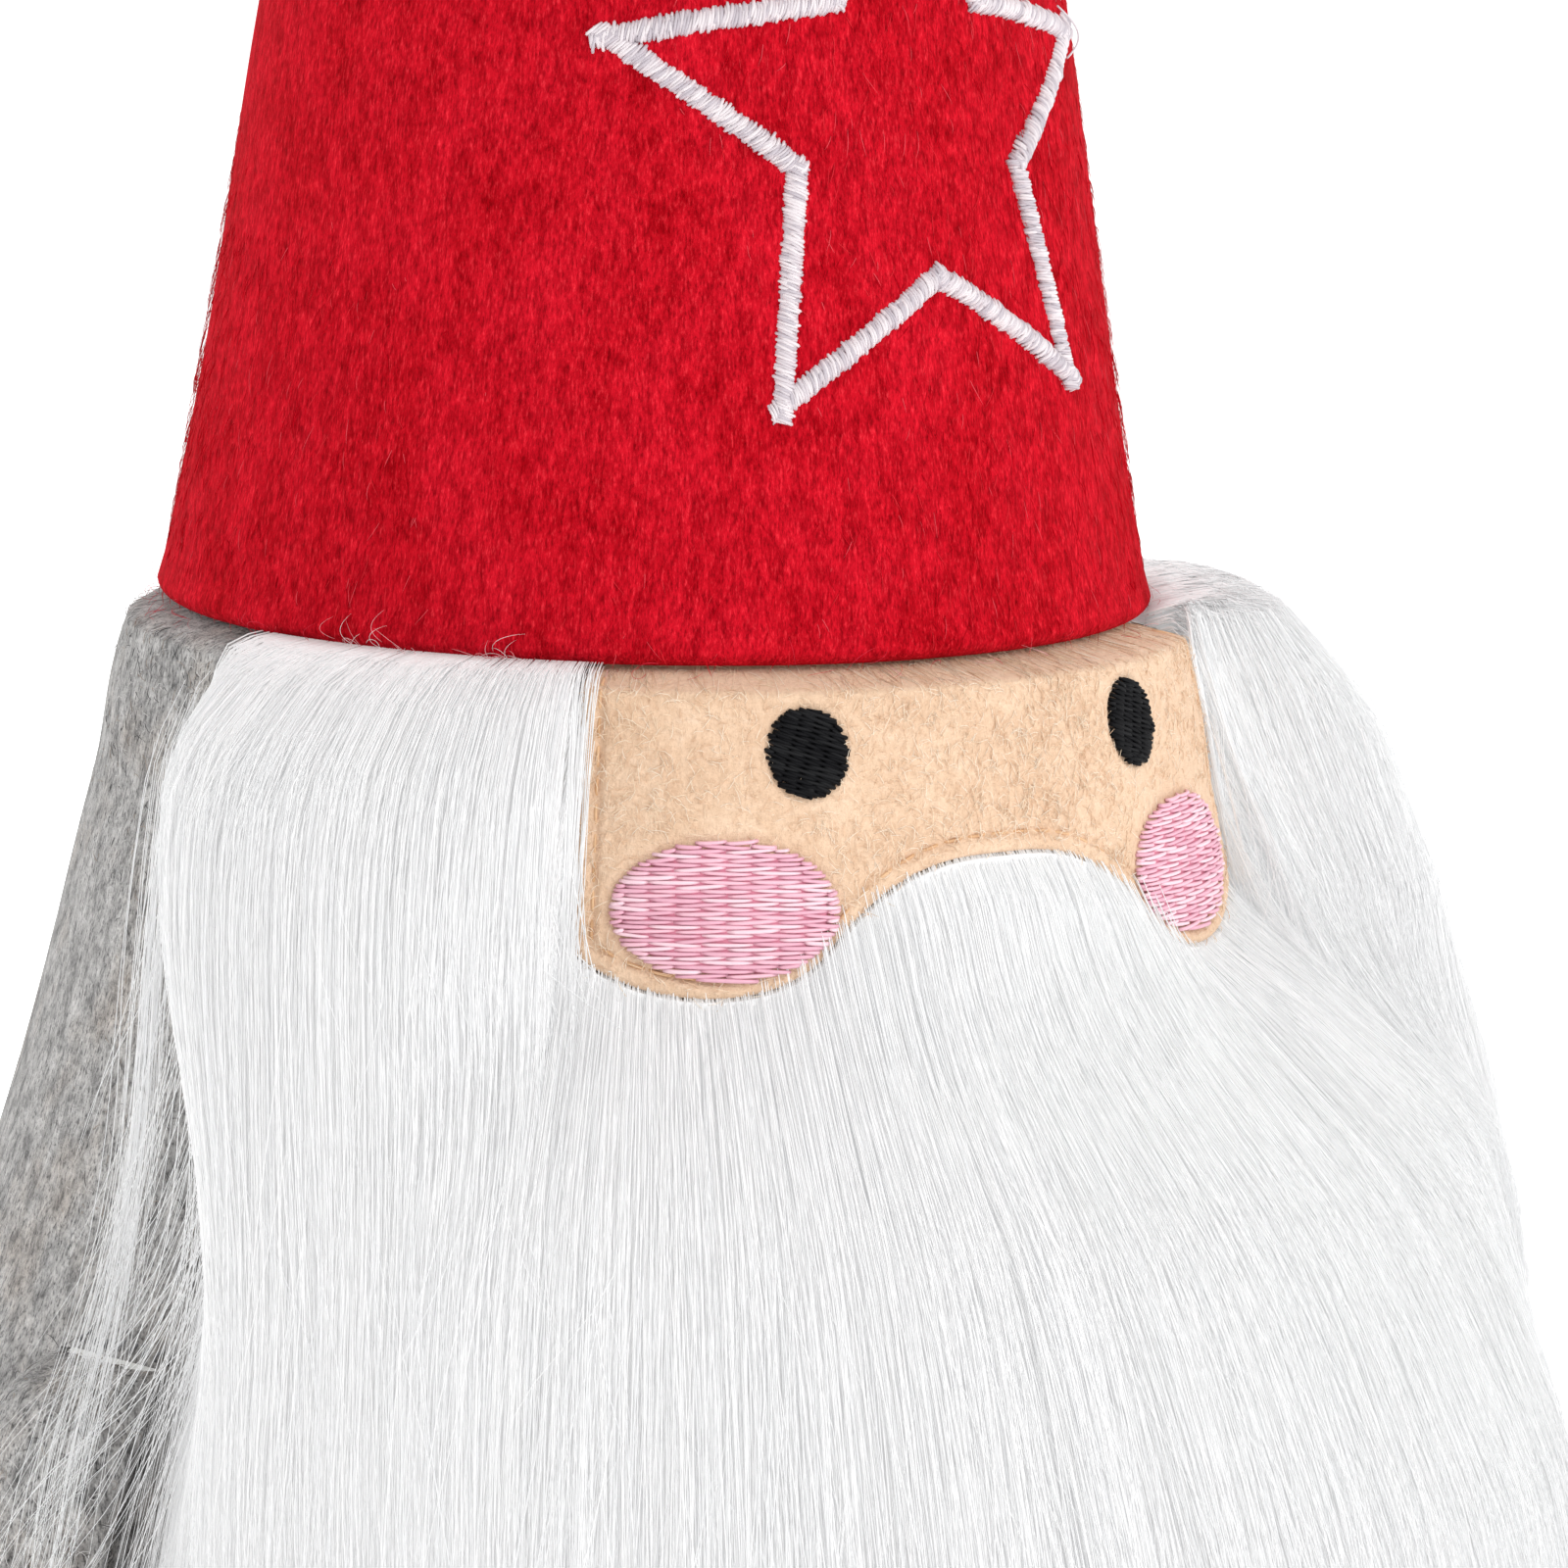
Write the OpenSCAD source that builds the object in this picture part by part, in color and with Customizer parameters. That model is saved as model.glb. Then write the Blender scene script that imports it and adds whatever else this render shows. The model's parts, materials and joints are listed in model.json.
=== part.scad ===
// Stuffed gnome figurine: a felt body on a weighted base, an arm sewn to each side, a felt face
// set in a long-pile beard, and a tall stuffed hat with an embroidered star.
// Millimetres, +Z up, origin at the centre of the flat base, the face looks along -Y.
// Azimuths are measured from -Y, positive towards +X. Heights on the face and the beard are
// measured down from the brim, heights on the hat are measured up from it.

/* [Body] */
// Height of the hat's brim above the base
body_h = 180; // [176:1:184]
// Radius of the body at its widest
belly_r = 85.5; // [84:0.5:88]
// Thickness of the body felt
felt_t = 2; // [1.4:0.1:2.2]
// Thickness of the stiff board over the base
board_t = 2; // [1.5:0.5:3]
// Height of the ballast bag
ballast_h = 26; // [18:1:32]
// Radius of the ballast bag
ballast_r = 62; // [50:1:66]

/* [Arms] */
// Azimuth of each arm
arm_az = 82; // [81:0.5:88]
// Distance of the shoulder seam below the brim
shoulder_drop = 70; // [68:1:74]
// Length of an arm from its seam to its end
arm_len = 82; // [76:1:88]
// Width of an arm at its end
arm_w = 24; // [20:1:25]
// Thickness of an arm at its end
arm_t = 15; // [12:1:17]
// Gap between an arm and the body
arm_gap = 0.5; // [0.4:0.1:1]

/* [Hat] */
// Radius of the brim
brim_r = 51; // [50.8:0.1:52]
// Height of the hat above the brim
hat_h = 292; // [270:1:300]
// Radius of the rounded tip
tip_r = 4; // [3.5:0.5:6]
// Thickness of the hat fleece
fleece_t = 2; // [1.6:0.1:2.1]

/* [Star] */
// Height of the star's centre above the brim
star_rise = 52.8; // [48:0.1:60]
// Distance from the star's centre to the middle of the thread band at a tip
star_tip = 33; // [28:0.5:35]
// Distance from the star's centre to the middle of the thread band at a notch
star_notch = 15.3; // [12:0.1:17]
// Width of the satin band
star_band = 2.2; // [1.6:0.1:3]
// Turn of the star about its centre
star_turn = -2; // [-6:1:6]

/* [Face] */
// Half angle of the face patch
face_half = 43.5; // [43:0.1:43.8]
// Thickness of the face felt
face_t = 1.4; // [1:0.1:1.5]
// Azimuth of each eye
eye_az = 21.3; // [19:0.1:23]
// Distance of the eyes below the brim
eye_drop = 8.1; // [7.5:0.1:9]
// Width of an eye
eye_w = 8.6; // [7:0.1:9.5]
// Height of an eye
eye_h = 10; // [8:0.1:10.5]
// Azimuth of each cheek
cheek_az = 30.1; // [29.5:0.1:31]
// Distance of the cheeks below the brim
cheek_drop = 24.2; // [23.8:0.1:25]
// Width of a cheek
cheek_w = 23; // [20:0.1:23.2]
// Height of a cheek
cheek_h = 14.8; // [13:0.1:15]

/* [Beard] */
// Half angle of the beard under the brim
beard_half_top = 92; // [88:1:96]
// Half angle of the beard at the arms
beard_half_low = 72; // [64:1:72]
// Length of the beard below the brim, at the middle
beard_len = 136; // [125:1:140]
// How much shorter the beard is at a third of a half turn
beard_side_rise = 26; // [20:1:30]
// Thickness of the knitted backing
backing_t = 1; // [0.8:0.1:1.1]

/* [Hidden] */

$fn = 96;
fit_gap = 0.1;            // space between nested layers
thread_r = 0.45;          // radius of the sewing thread's drawn runs
curve_steps = 4;          // straight pieces between two profile stations
reach = 120;              // longer than anything that is cut through

// The body's outer profile: [share of the brim height, share of the belly radius].
body_stations = [[0, 0.889], [0.025, 0.945], [0.075, 0.977], [0.19, 1], [0.33, 0.971],
    [0.5, 0.906], [0.67, 0.789], [0.78, 0.724], [0.89, 0.672], [0.955, 0.638], [0.98, 0.603],
    [1, 0.55], [1.035, 0.538], [1.08, 0.5], [1.12, 0.41], [1.155, 0.26], [1.17, 0]];
neck_top_z = body_h + 6;          // how high the face and the backing are tucked under the hat
stuffing_gap = felt_t + fit_gap;

function cubic(a, b, c, d, t) =
    b + 0.5 * t * (c - a + t * (2 * a - 5 * b + 4 * c - d + t * (3 * (b - c) + d - a)));
function station(i) =
    let (s = body_stations[min(max(i, 0), len(body_stations) - 1)])
    [s[1] * belly_r, s[0] * body_h];
body_curve = concat(
    [for (i = [0 : len(body_stations) - 2], k = [0 : curve_steps - 1])
        cubic(station(i - 1), station(i), station(i + 1), station(i + 2), k / curve_steps)],
    [station(len(body_stations) - 1)]);
body_table = [for (p = body_curve) [p[1], p[0]]];
function body_r(z) = lookup(z, body_table);

// The body's profile moved inwards by a distance, square to the surface.
function inset_point(i, distance) =
    let (p = body_curve[i])
    let (along = body_curve[min(i + 1, len(body_curve) - 1)] - body_curve[max(i - 1, 0)])
    let (size = norm(along))
    [max(p[0] - distance * along[1] / size, 0), max(p[1] + distance * along[0] / size, 0)];
function inset_curve(distance) = [for (i = [0 : len(body_curve) - 1]) inset_point(i, distance)];
function reversed(list) = [for (i = [len(list) - 1 : -1 : 0]) list[i]];
function ease(t) = let (u = min(max(t, 0), 1)) u * u * (3 - 2 * u);

// Breaks between two heights, kept at the body's own breaks so that layers stay parallel to it.
function heights(z0, z1) =
    concat([z0], [for (p = body_table) if (p[0] > z0 + 0.2 && p[0] < z1 - 0.2) p[0]], [z1]);

// A layer on the body, from one distance off its surface to another, between two azimuths.
module layer_on_body(z0, z1, low, high, az0, az1) {
    z = heights(z0, z1);
    rotate([0, 0, az0 - 90])
        rotate_extrude(angle = az1 - az0)
            polygon(concat([for (h = z) [body_r(h) + high, h]],
                [for (h = reversed(z)) [body_r(h) + low, h]]));
}

// ---------------------------------------------------------------- base and ballast
base_r = 73;
base_thread_r = 73.55;
base_thread_z = 0.9;
board_r = 69;
board_z = felt_t + fit_gap;
ballast_z = board_z + board_t + fit_gap;
ballast_corner = 9;
bag_t = 0.8;

module base_panel() {
    color("#8d8f90") cylinder(h = felt_t, r = base_r);
}

module base_board() {
    color("#a98f6c") translate([0, 0, board_z]) cylinder(h = board_t, r = board_r);
}

module base_seam_thread() {
    color("#6e7072")
        translate([0, 0, base_thread_z])
            rotate_extrude()
                translate([base_thread_r, 0]) circle(r = thread_r, $fn = 24);
}

// A flat pillow of revolution: half of a rounded rectangle.
module pillow(radius, height, corner) {
    rotate_extrude()
        polygon(concat([[0, 0]],
            [for (a = [-90 : 15 : 0]) [radius - corner + corner * cos(a), corner + corner * sin(a)]],
            [for (a = [0 : 15 : 90])
                [radius - corner + corner * cos(a), height - corner + corner * sin(a)]],
            [[0, height]]));
}

module ballast_bag() {
    color("#d9d6cc")
        translate([0, 0, ballast_z]) difference() {
            pillow(ballast_r, ballast_h, ballast_corner);
            translate([0, 0, bag_t])
                pillow(ballast_r - bag_t, ballast_h - 2 * bag_t, ballast_corner - bag_t);
        }
}

module ballast_fill() {
    inner_t = bag_t + fit_gap;
    color("#c7c2b2")
        translate([0, 0, ballast_z + inner_t])
            pillow(ballast_r - inner_t, ballast_h - 2 * inner_t, ballast_corner - inner_t);
}

// ---------------------------------------------------------------- body
module body_cover() {
    color("#9a9c9e")
        rotate_extrude() polygon(concat(body_curve, reversed(inset_curve(felt_t))));
}

module body_back_thread() {
    half_angle = 0.4;
    color("#6e7072")
        layer_on_body(4, body_h - 4, fit_gap, fit_gap + thread_r, 180 - half_angle, 180 + half_angle);
}

module body_stuffing() {
    low_z = board_z + board_t + fit_gap;
    outline = [for (p = inset_curve(stuffing_gap)) if (p[1] > low_z + 1) p];
    pocket = ballast_r + fit_gap;
    color("#f1f1ec") difference() {
        rotate_extrude()
            polygon(concat([[0, low_z], [outline[0][0] - 1, low_z]], outline));
        translate([0, 0, low_z - 1])
            cylinder(h = ballast_h + 1 + 2 * fit_gap, r = pocket);
    }
}

// ---------------------------------------------------------------- face
lobe_x = 29.5;            // middle of the round lobe under a cheek
lobe_rx = 12;             // half width of the lobe
lobe_rz = 8.9;            // depth of the lobe below the cheek's middle
lobe_end = 325;           // where round the lobe the arch begins
arch_drop = 20.2;         // top of the arch over the moustache, below the brim
arch_power = 2.8;         // flatness of the arch's top
face_low_z = body_h - cheek_drop - lobe_rz - 2;

function lobe_point(a, inset) =
    [-lobe_x + (lobe_rx - inset) * cos(a), -cheek_drop + (lobe_rz - inset) * sin(a)];
function lobe_run(inset) = [for (a = [180 : 5 : lobe_end]) lobe_point(a, inset)];
function arch_z(x, inset) =
    let (foot = lobe_point(lobe_end, inset))
    inset - arch_drop + (foot[1] + arch_drop - inset) * pow(abs(x / foot[0]), arch_power);
function arch_run(inset) =
    let (foot_x = -lobe_point(lobe_end, inset)[0])
    [for (k = [-8 : 8]) let (x = 0.97 * foot_x * k / 8) [x, arch_z(x, inset)]];
function mirrored(run) = [for (p = reversed(run)) [-p[0], p[1]]];

// The face patch's lower edge as a plate across the front, open upwards and sideways.
module face_window_2d(inset) {
    wide = 70;
    polygon(concat([[-wide, 40], [-wide, -cheek_drop]], lobe_run(inset), arch_run(inset),
        mirrored(lobe_run(inset)), [[wide, -cheek_drop], [wide, 40]]));
}

// A layer with the face patch's outline, inset from its edge by a distance.
module face_layer(low, high, inset, top_z) {
    half = face_half - inset * 180 / (PI * body_r(body_h - cheek_drop));
    intersection() {
        layer_on_body(face_low_z, top_z, low, high, -half, half);
        translate([0, 0, body_h])
            rotate([90, 0, 0])
                linear_extrude(reach) face_window_2d(inset);
    }
}

function ellipse_points(w, h) = [for (a = [0 : 7.5 : 352.5]) [w / 2 * cos(a), h / 2 * sin(a)]];

// An upright elliptical bar out of the axis at an azimuth.
module ellipse_bar(az, drop, w, h) {
    rotate([0, 0, az])
        translate([0, 0, body_h - drop])
            rotate([90, 0, 0])
                linear_extrude(reach) polygon(ellipse_points(w, h));
}

stitch_low = fit_gap + face_t + 0.05;
stitch_high = stitch_low + 0.7;

module filled_stitch(az, drop, w, h) {
    half = 90 * w / (PI * belly_r) + 6;
    intersection() {
        layer_on_body(body_h - drop - h / 2 - 1, body_h - drop + h / 2 + 1, stitch_low, stitch_high,
            az - half, az + half);
        ellipse_bar(az, drop, w, h);
    }
}

module face_patch() {
    color("#f8d9b0") face_layer(fit_gap, fit_gap + face_t, 0, neck_top_z);
}

module face_topstitch() {
    from_edge = 1.8;
    run_w = 0.5;
    color("#e3b98a") difference() {
        face_layer(stitch_low, stitch_low + 0.35, from_edge, body_h - 1);
        face_layer(0, reach / 10, from_edge + run_w, body_h + 2);
        for (side = [-1, 1])
            ellipse_bar(side * cheek_az, cheek_drop, cheek_w + 2 * fit_gap, cheek_h + 2 * fit_gap);
    }
}

module eye_left() {
    color("#161618") filled_stitch(eye_az, eye_drop, eye_w, eye_h);
}

module eye_right() {
    color("#161618") filled_stitch(-eye_az, eye_drop, eye_w, eye_h);
}

module cheek_left() {
    color("#eba3c0") filled_stitch(cheek_az, cheek_drop, cheek_w, cheek_h);
}

module cheek_right() {
    color("#eba3c0") filled_stitch(-cheek_az, cheek_drop, cheek_w, cheek_h);
}

// ---------------------------------------------------------------- beard
window_gap = 0.4;
backing_low_z = body_h - 62;

module beard_backing() {
    color("#e9e9e6") difference() {
        layer_on_body(backing_low_z, neck_top_z, fit_gap, fit_gap + backing_t,
            -beard_half_top, beard_half_top);
        face_layer(-1, reach / 10, -window_gap, neck_top_z + 2);
    }
}

pile_foot = fit_gap + backing_t + 0.4;    // where the pile starts, off the body
pile_top = 0.6;                           // distance of the pile's upper edge below the brim
pile_min = 1.5;                           // least thickness of the pile
pile_rows = 20;
face_edge = face_half + 0.6;              // azimuth where the pile meets the face's side

// Thickness of the pile against the distance below the brim, at the sides and at the front.
side_pile = [[0, 3], [3, 8], [10, 14.5], [20, 17], [31, 19], [46, 20.5], [61, 18.5], [71, 16],
    [81, 13], [91, 9], [100, 4], [140, 1]];
front_pile = [[20, 2], [30, 7], [45, 14], [60, 20], [80, 24], [108, 24], [124, 17], [136, 3]];

// The columns' azimuths at the brim; two close columns stand at each side of the face.
pile_half = [0, 7, 14, 20, 26, 32, 38, 41, face_edge - 0.2, face_edge, 48, 52, 58, 64, 70, 76, 84,
    beard_half_top];
pile_columns = concat([for (a = reversed(pile_half)) -a],
    [for (i = [1 : len(pile_half) - 1]) pile_half[i]]);

function beard_half(drop) =
    beard_half_top + (beard_half_low - beard_half_top) * ease(drop / 62);
function column_az(az, drop) =
    abs(az) <= face_edge ? az :
    sign(az) * (face_edge + (abs(az) - face_edge) * (beard_half(drop) - face_edge)
        / (beard_half_top - face_edge));
function lower_edge(az) =
    let (x = min(abs(body_r(body_h - cheek_drop) * sin(az)), lobe_x + lobe_rx - 0.1))
    let (foot = lobe_point(lobe_end, 0))
    x < -foot[0] ? -arch_z(x, 0) :
    cheek_drop + lobe_rz * sqrt(max(1 - pow((x - lobe_x) / lobe_rx, 2), 0.03));
function column_start(az) = abs(az) < face_edge ? lower_edge(az) + 0.7 : pile_top;
function column_end(az) = beard_len - beard_side_rise * pow(min(abs(az), 72) / 60, 2);
function pile_thickness(az, drop) =
    let (front = ease((50 - abs(az)) / 25))
    let (full = lookup(drop, side_pile) * (1 - front) + lookup(drop, front_pile) * front)
    let (away = max(ease((abs(az) - face_edge) / 18), ease((drop - 24) / 30)))
    pile_min + full * away * ease((beard_half_top - abs(az)) / 14);
function polar(radius, az, z) = [radius * sin(az), -radius * cos(az), z];
function pile_point(az, row, outer) =
    let (start = column_start(az))
    let (drop = start + (column_end(az) - start) * pow(row / pile_rows, 1.2))
    let (z = body_h - drop)
    polar(body_r(z) + pile_foot + (outer ? pile_thickness(az, drop) : 0), column_az(az, drop), z);

// Two sheets of points, inner and outer, with a wall all round their shared edge.
module beard_pile() {
    cols = len(pile_columns);
    side = pile_rows + 1;
    sheet = cols * side;
    points = [for (outer = [false, true], az = pile_columns, row = [0 : pile_rows])
        pile_point(az, row, outer)];
    outer_faces = [for (c = [0 : cols - 2], r = [0 : pile_rows - 1])
        let (k = sheet + c * side + r) each [[k, k + side + 1, k + 1], [k, k + side, k + side + 1]]];
    inner_faces = [for (c = [0 : cols - 2], r = [0 : pile_rows - 1])
        let (k = c * side + r) each [[k, k + 1, k + side + 1], [k, k + side + 1, k + side]]];
    rim = concat([for (c = [0 : cols - 1]) c * side],
        [for (r = [1 : pile_rows]) (cols - 1) * side + r],
        [for (c = [cols - 2 : -1 : 0]) c * side + pile_rows],
        [for (r = [pile_rows - 1 : -1 : 1]) r]);
    wall = [for (i = [0 : len(rim) - 1])
        let (a = rim[i], b = rim[(i + 1) % len(rim)])
        each [[a, b, b + sheet], [a, b + sheet, a + sheet]]];
    color("#f2f2f0") polyhedron(points, concat(outer_faces, inner_faces, wall));
}

// ---------------------------------------------------------------- hat
hem_r = 1.6;                                       // roundness of the turned brim edge
apex_h = (hat_h - tip_r) / (1 - tip_r / brim_r);   // where the straight side would end
slope = brim_r / apex_h;
lean = atan(slope);
function hat_r(rise) = slope * (apex_h - rise);
tip_centre = apex_h - tip_r / sin(lean);

// The hat's side and tip from a rise upwards, moved inwards by a distance.
function hat_side(rise, inset) = concat(
    [[hat_r(rise) - inset / cos(lean), body_h + rise]],
    [for (a = [lean : 9 : 85])
        [(tip_r - inset) * cos(a), body_h + tip_centre + (tip_r - inset) * sin(a)]],
    [[0, body_h + tip_centre + tip_r - inset]]);

module hat_cover() {
    hem = [for (a = [-90 : 15 : 0])
        [brim_r - hem_r + hem_r * cos(a), body_h + hem_r + hem_r * sin(a)]];
    color("#cd1428") rotate_extrude()
        polygon(concat(hem, hat_side(2 * hem_r, 0), reversed(hat_side(0, fleece_t))));
}

module hat_back_thread() {
    half_angle = 0.5;
    rise = 6;
    outer = hat_side(rise, -fit_gap - thread_r);
    inner = hat_side(rise, -fit_gap);
    color("#a8101f")
        rotate([0, 0, 90 - half_angle])
            rotate_extrude(angle = 2 * half_angle)
                polygon([outer[0], outer[1], inner[1], inner[0]]);
}

module hat_brim_thread() {
    ring_z = neck_top_z + 1.3;
    ring_r = (body_r(ring_z) + hat_r(ring_z - body_h) - fleece_t) / 2;
    color("#a8101f")
        translate([0, 0, ring_z])
            rotate_extrude()
                translate([ring_r, 0]) circle(r = thread_r, $fn = 24);
}

module hat_stuffing() {
    low_z = neck_top_z + 4;
    dome = [for (p = inset_curve(-2 * fit_gap)) if (p[1] > low_z) p];
    color("#f1f1ec") rotate_extrude()
        polygon(concat([[body_r(low_z) + 3 * fit_gap, low_z]],
            hat_side(low_z - body_h, fleece_t + 6 * fit_gap), reversed(dome)));
}

// ---------------------------------------------------------------- star
star_slant = (apex_h - star_rise) / cos(lean);
edge_steps = 6;
half_band = star_band / 2;
notch_x = star_notch * sin(36);
notch_y = star_notch * cos(36);
tip_half = atan(notch_x / (star_tip - notch_y));
tip_reach = 0.85 * half_band / sin(tip_half);       // mitre at a tip, cut a little short
notch_reach = half_band / sin(36 + tip_half);

function corner(k, side) =
    let (radius = k % 2 == 0 ? star_tip + side * tip_reach : star_notch + side * notch_reach)
    [radius * sin(36 * k - star_turn), radius * cos(36 * k - star_turn)];
// A flat point of the star laid on the cone, a height above its surface.
function on_hat(p, height) =
    let (slant = norm([p[0], p[1] - star_slant]))
    let (az = atan2(p[0], star_slant - p[1]) / sin(lean))
    polar(slant * sin(lean) + height, az, body_h + apex_h - slant * cos(lean));
function edge_point(i, side) =
    let (k = floor(i / edge_steps), t = (i % edge_steps) / edge_steps)
    corner(k, side) * (1 - t) + corner(k + 1, side) * t;

module star_outline() {
    low = 0.15;
    high = 0.9;
    count = 10 * edge_steps;
    ring = [[-1, low], [1, low], [1, high], [-1, high]];
    points = [for (i = [0 : count - 1], c = ring) on_hat(edge_point(i, c[0]), c[1])];
    faces = [for (i = [0 : count - 1], c = [0 : 3])
        let (n = (i + 1) % count, d = (c + 1) % 4)
        each [[4 * i + c, 4 * n + d, 4 * i + d], [4 * i + c, 4 * n + c, 4 * n + d]]];
    color("#f6f4f8") polyhedron(points, faces);
}

module star_stabiliser() {
    half = 52;
    low = hat_side(star_rise - star_tip - 6, fleece_t + fit_gap)[0];
    high = hat_side(star_rise + star_tip + 6, fleece_t + fit_gap)[0];
    sheet_t = [0.4, 0];
    color("#fbfbf8")
        rotate([0, 0, -90 - half])
            rotate_extrude(angle = 2 * half)
                polygon([low - sheet_t, low, high, high - sheet_t]);
}

// ---------------------------------------------------------------- arms
// An arm is drawn at azimuth 0, hanging along the body, then turned to its place.
seam_r = 0.8;                 // roundness of the sewn upper edge
seam_half = 8;                // half length of the sewn edge
felt_arm_t = 1.6;             // thickness of the arm felt
shoulder_z = body_h - shoulder_drop;
seam_off = body_r(shoulder_z) + arm_gap + seam_r;
ball_fn = 20;

// [share of the arm's length, share of its end width, share of its end thickness]
arm_stations = [[0.13, 0.86, 0.7], [0.46, 0.92, 0.9], [0.84, 1, 1]];

// One rounded station of the arm, shrunk by an inset.
module arm_ball(s, inset) {
    z = shoulder_z - s[0] * arm_len;
    half_t = s[2] * arm_t / 2;
    translate([0, -(body_r(z) + arm_gap + 1.06 * half_t), z])
        scale([s[1] * arm_w / 2 - inset, half_t - inset, s[1] * arm_w / 2 - inset])
            sphere(r = 1, $fn = ball_fn);
}

module arm_seam_edge(inset) {
    translate([0, -seam_off, shoulder_z])
        rotate([0, 90, 0])
            cylinder(h = 2 * (seam_half - inset), r = seam_r - inset / 4, center = true, $fn = 24);
}

module arm_form(inset) {
    hull() {
        arm_seam_edge(inset);
        arm_ball(arm_stations[0], inset);
    }
    hull() {
        arm_ball(arm_stations[0], inset);
        arm_ball(arm_stations[1], inset);
    }
    hull() {
        arm_ball(arm_stations[1], inset);
        arm_ball(arm_stations[2], inset);
    }
}

// The surface between the arm's two panels: a strip through the middle of its thickness.
module arm_side(outer) {
    middle = [for (s = concat([[0, 0, 0]], arm_stations, [[1.2, 1, 1]]))
        let (z = shoulder_z - s[0] * arm_len)
        [body_r(z) + arm_gap + 1.06 * s[2] * arm_t / 2 + (s[0] == 0 ? seam_r : 0), z]];
    top = concat([[middle[0][0], body_h]], middle);
    shift = outer ? fit_gap / 2 : -fit_gap / 2;
    far = outer ? belly_r + 3 * arm_t : 0;
    rotate([90, 0, -90])
        linear_extrude(2 * arm_w, center = true)
            polygon(concat([for (p = top) [p[0] + shift, p[1]]],
                [[far, top[len(top) - 1][1]], [far, body_h]]));
}

// The body with a little room round it, so that an arm never cuts into the felt it lies on.
module body_room() {
    low_z = shoulder_z - 1.2 * arm_len;
    side = [for (p = inset_curve(-2 * fit_gap)) if (p[1] > low_z && p[1] < body_h) p];
    rotate_extrude() polygon(concat([[0, side[0][1]]], side, [[0, side[len(side) - 1][1]]]));
}

module arm_panel(outer) {
    intersection() {
        difference() {
            arm_form(0);
            arm_form(felt_arm_t);
            if (!outer) body_room();
        }
        arm_side(outer);
    }
}

// The thread lies in the crease over the sewn edge, on the body's side of it.
module arm_thread() {
    rise = seam_r + thread_r + fit_gap;
    off = body_r(shoulder_z + rise) + thread_r + 2 * fit_gap;
    rotate([0, 90, 0])
        translate([-shoulder_z - rise, -off, 0])
            cylinder(h = 2 * seam_half - 4, r = thread_r, center = true, $fn = 24);
}

module arm_left_outer_panel() {
    color("#9a9c9e") rotate([0, 0, arm_az]) arm_panel(true);
}

module arm_left_inner_panel() {
    color("#87898b") rotate([0, 0, arm_az]) arm_panel(false);
}

module arm_left_stuffing() {
    color("#f1f1ec") rotate([0, 0, arm_az]) arm_form(felt_arm_t + fit_gap);
}

module arm_left_thread() {
    color("#6e7072") rotate([0, 0, arm_az]) arm_thread();
}

module arm_right_outer_panel() {
    color("#9a9c9e") rotate([0, 0, -arm_az]) arm_panel(true);
}

module arm_right_inner_panel() {
    color("#87898b") rotate([0, 0, -arm_az]) arm_panel(false);
}

module arm_right_stuffing() {
    color("#f1f1ec") rotate([0, 0, -arm_az]) arm_form(felt_arm_t + fit_gap);
}

module arm_right_thread() {
    color("#6e7072") rotate([0, 0, -arm_az]) arm_thread();
}

base_panel();
base_board();
base_seam_thread();
ballast_bag();
ballast_fill();
body_cover();
body_back_thread();
body_stuffing();
face_patch();
face_topstitch();
eye_left();
eye_right();
cheek_left();
cheek_right();
beard_backing();
beard_pile();
hat_cover();
hat_back_thread();
hat_brim_thread();
hat_stuffing();
star_outline();
star_stabiliser();
arm_left_outer_panel();
arm_left_inner_panel();
arm_left_stuffing();
arm_left_thread();
arm_right_outer_panel();
arm_right_inner_panel();
arm_right_stuffing();
arm_right_thread();
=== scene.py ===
"""The looks of the stuffed gnome: brushed fleece hat, embroidered star and face, felt body and
arms, and a long-pile beard. Metres; azimuths are measured from -Y towards +X, in radians."""
import json
import math

import bpy
import numpy as np
from mathutils import Matrix, Vector
from mathutils.bvhtree import BVHTree


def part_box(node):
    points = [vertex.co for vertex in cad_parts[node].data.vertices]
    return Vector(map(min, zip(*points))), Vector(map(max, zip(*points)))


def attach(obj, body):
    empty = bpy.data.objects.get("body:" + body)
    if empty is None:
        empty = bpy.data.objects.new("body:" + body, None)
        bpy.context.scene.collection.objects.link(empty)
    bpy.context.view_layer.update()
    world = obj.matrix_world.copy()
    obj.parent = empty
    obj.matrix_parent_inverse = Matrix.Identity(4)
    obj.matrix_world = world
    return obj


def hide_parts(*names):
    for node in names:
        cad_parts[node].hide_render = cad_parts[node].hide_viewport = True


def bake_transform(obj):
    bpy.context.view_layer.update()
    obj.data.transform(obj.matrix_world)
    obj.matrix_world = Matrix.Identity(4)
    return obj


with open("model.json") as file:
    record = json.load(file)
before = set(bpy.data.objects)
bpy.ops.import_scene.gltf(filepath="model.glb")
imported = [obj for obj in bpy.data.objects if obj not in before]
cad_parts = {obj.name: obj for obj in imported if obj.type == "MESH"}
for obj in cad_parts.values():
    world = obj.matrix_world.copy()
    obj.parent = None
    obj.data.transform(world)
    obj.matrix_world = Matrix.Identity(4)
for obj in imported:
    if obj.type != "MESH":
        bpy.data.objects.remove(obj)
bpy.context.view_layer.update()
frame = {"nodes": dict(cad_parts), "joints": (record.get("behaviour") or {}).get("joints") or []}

MM = 0.001
DEG = math.pi / 180
BRIM_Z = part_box("hat_cover")[0].z
HAT_TOP_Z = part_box("hat_cover")[1].z
BODY_TOP_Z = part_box("body_cover")[1].z

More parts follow.
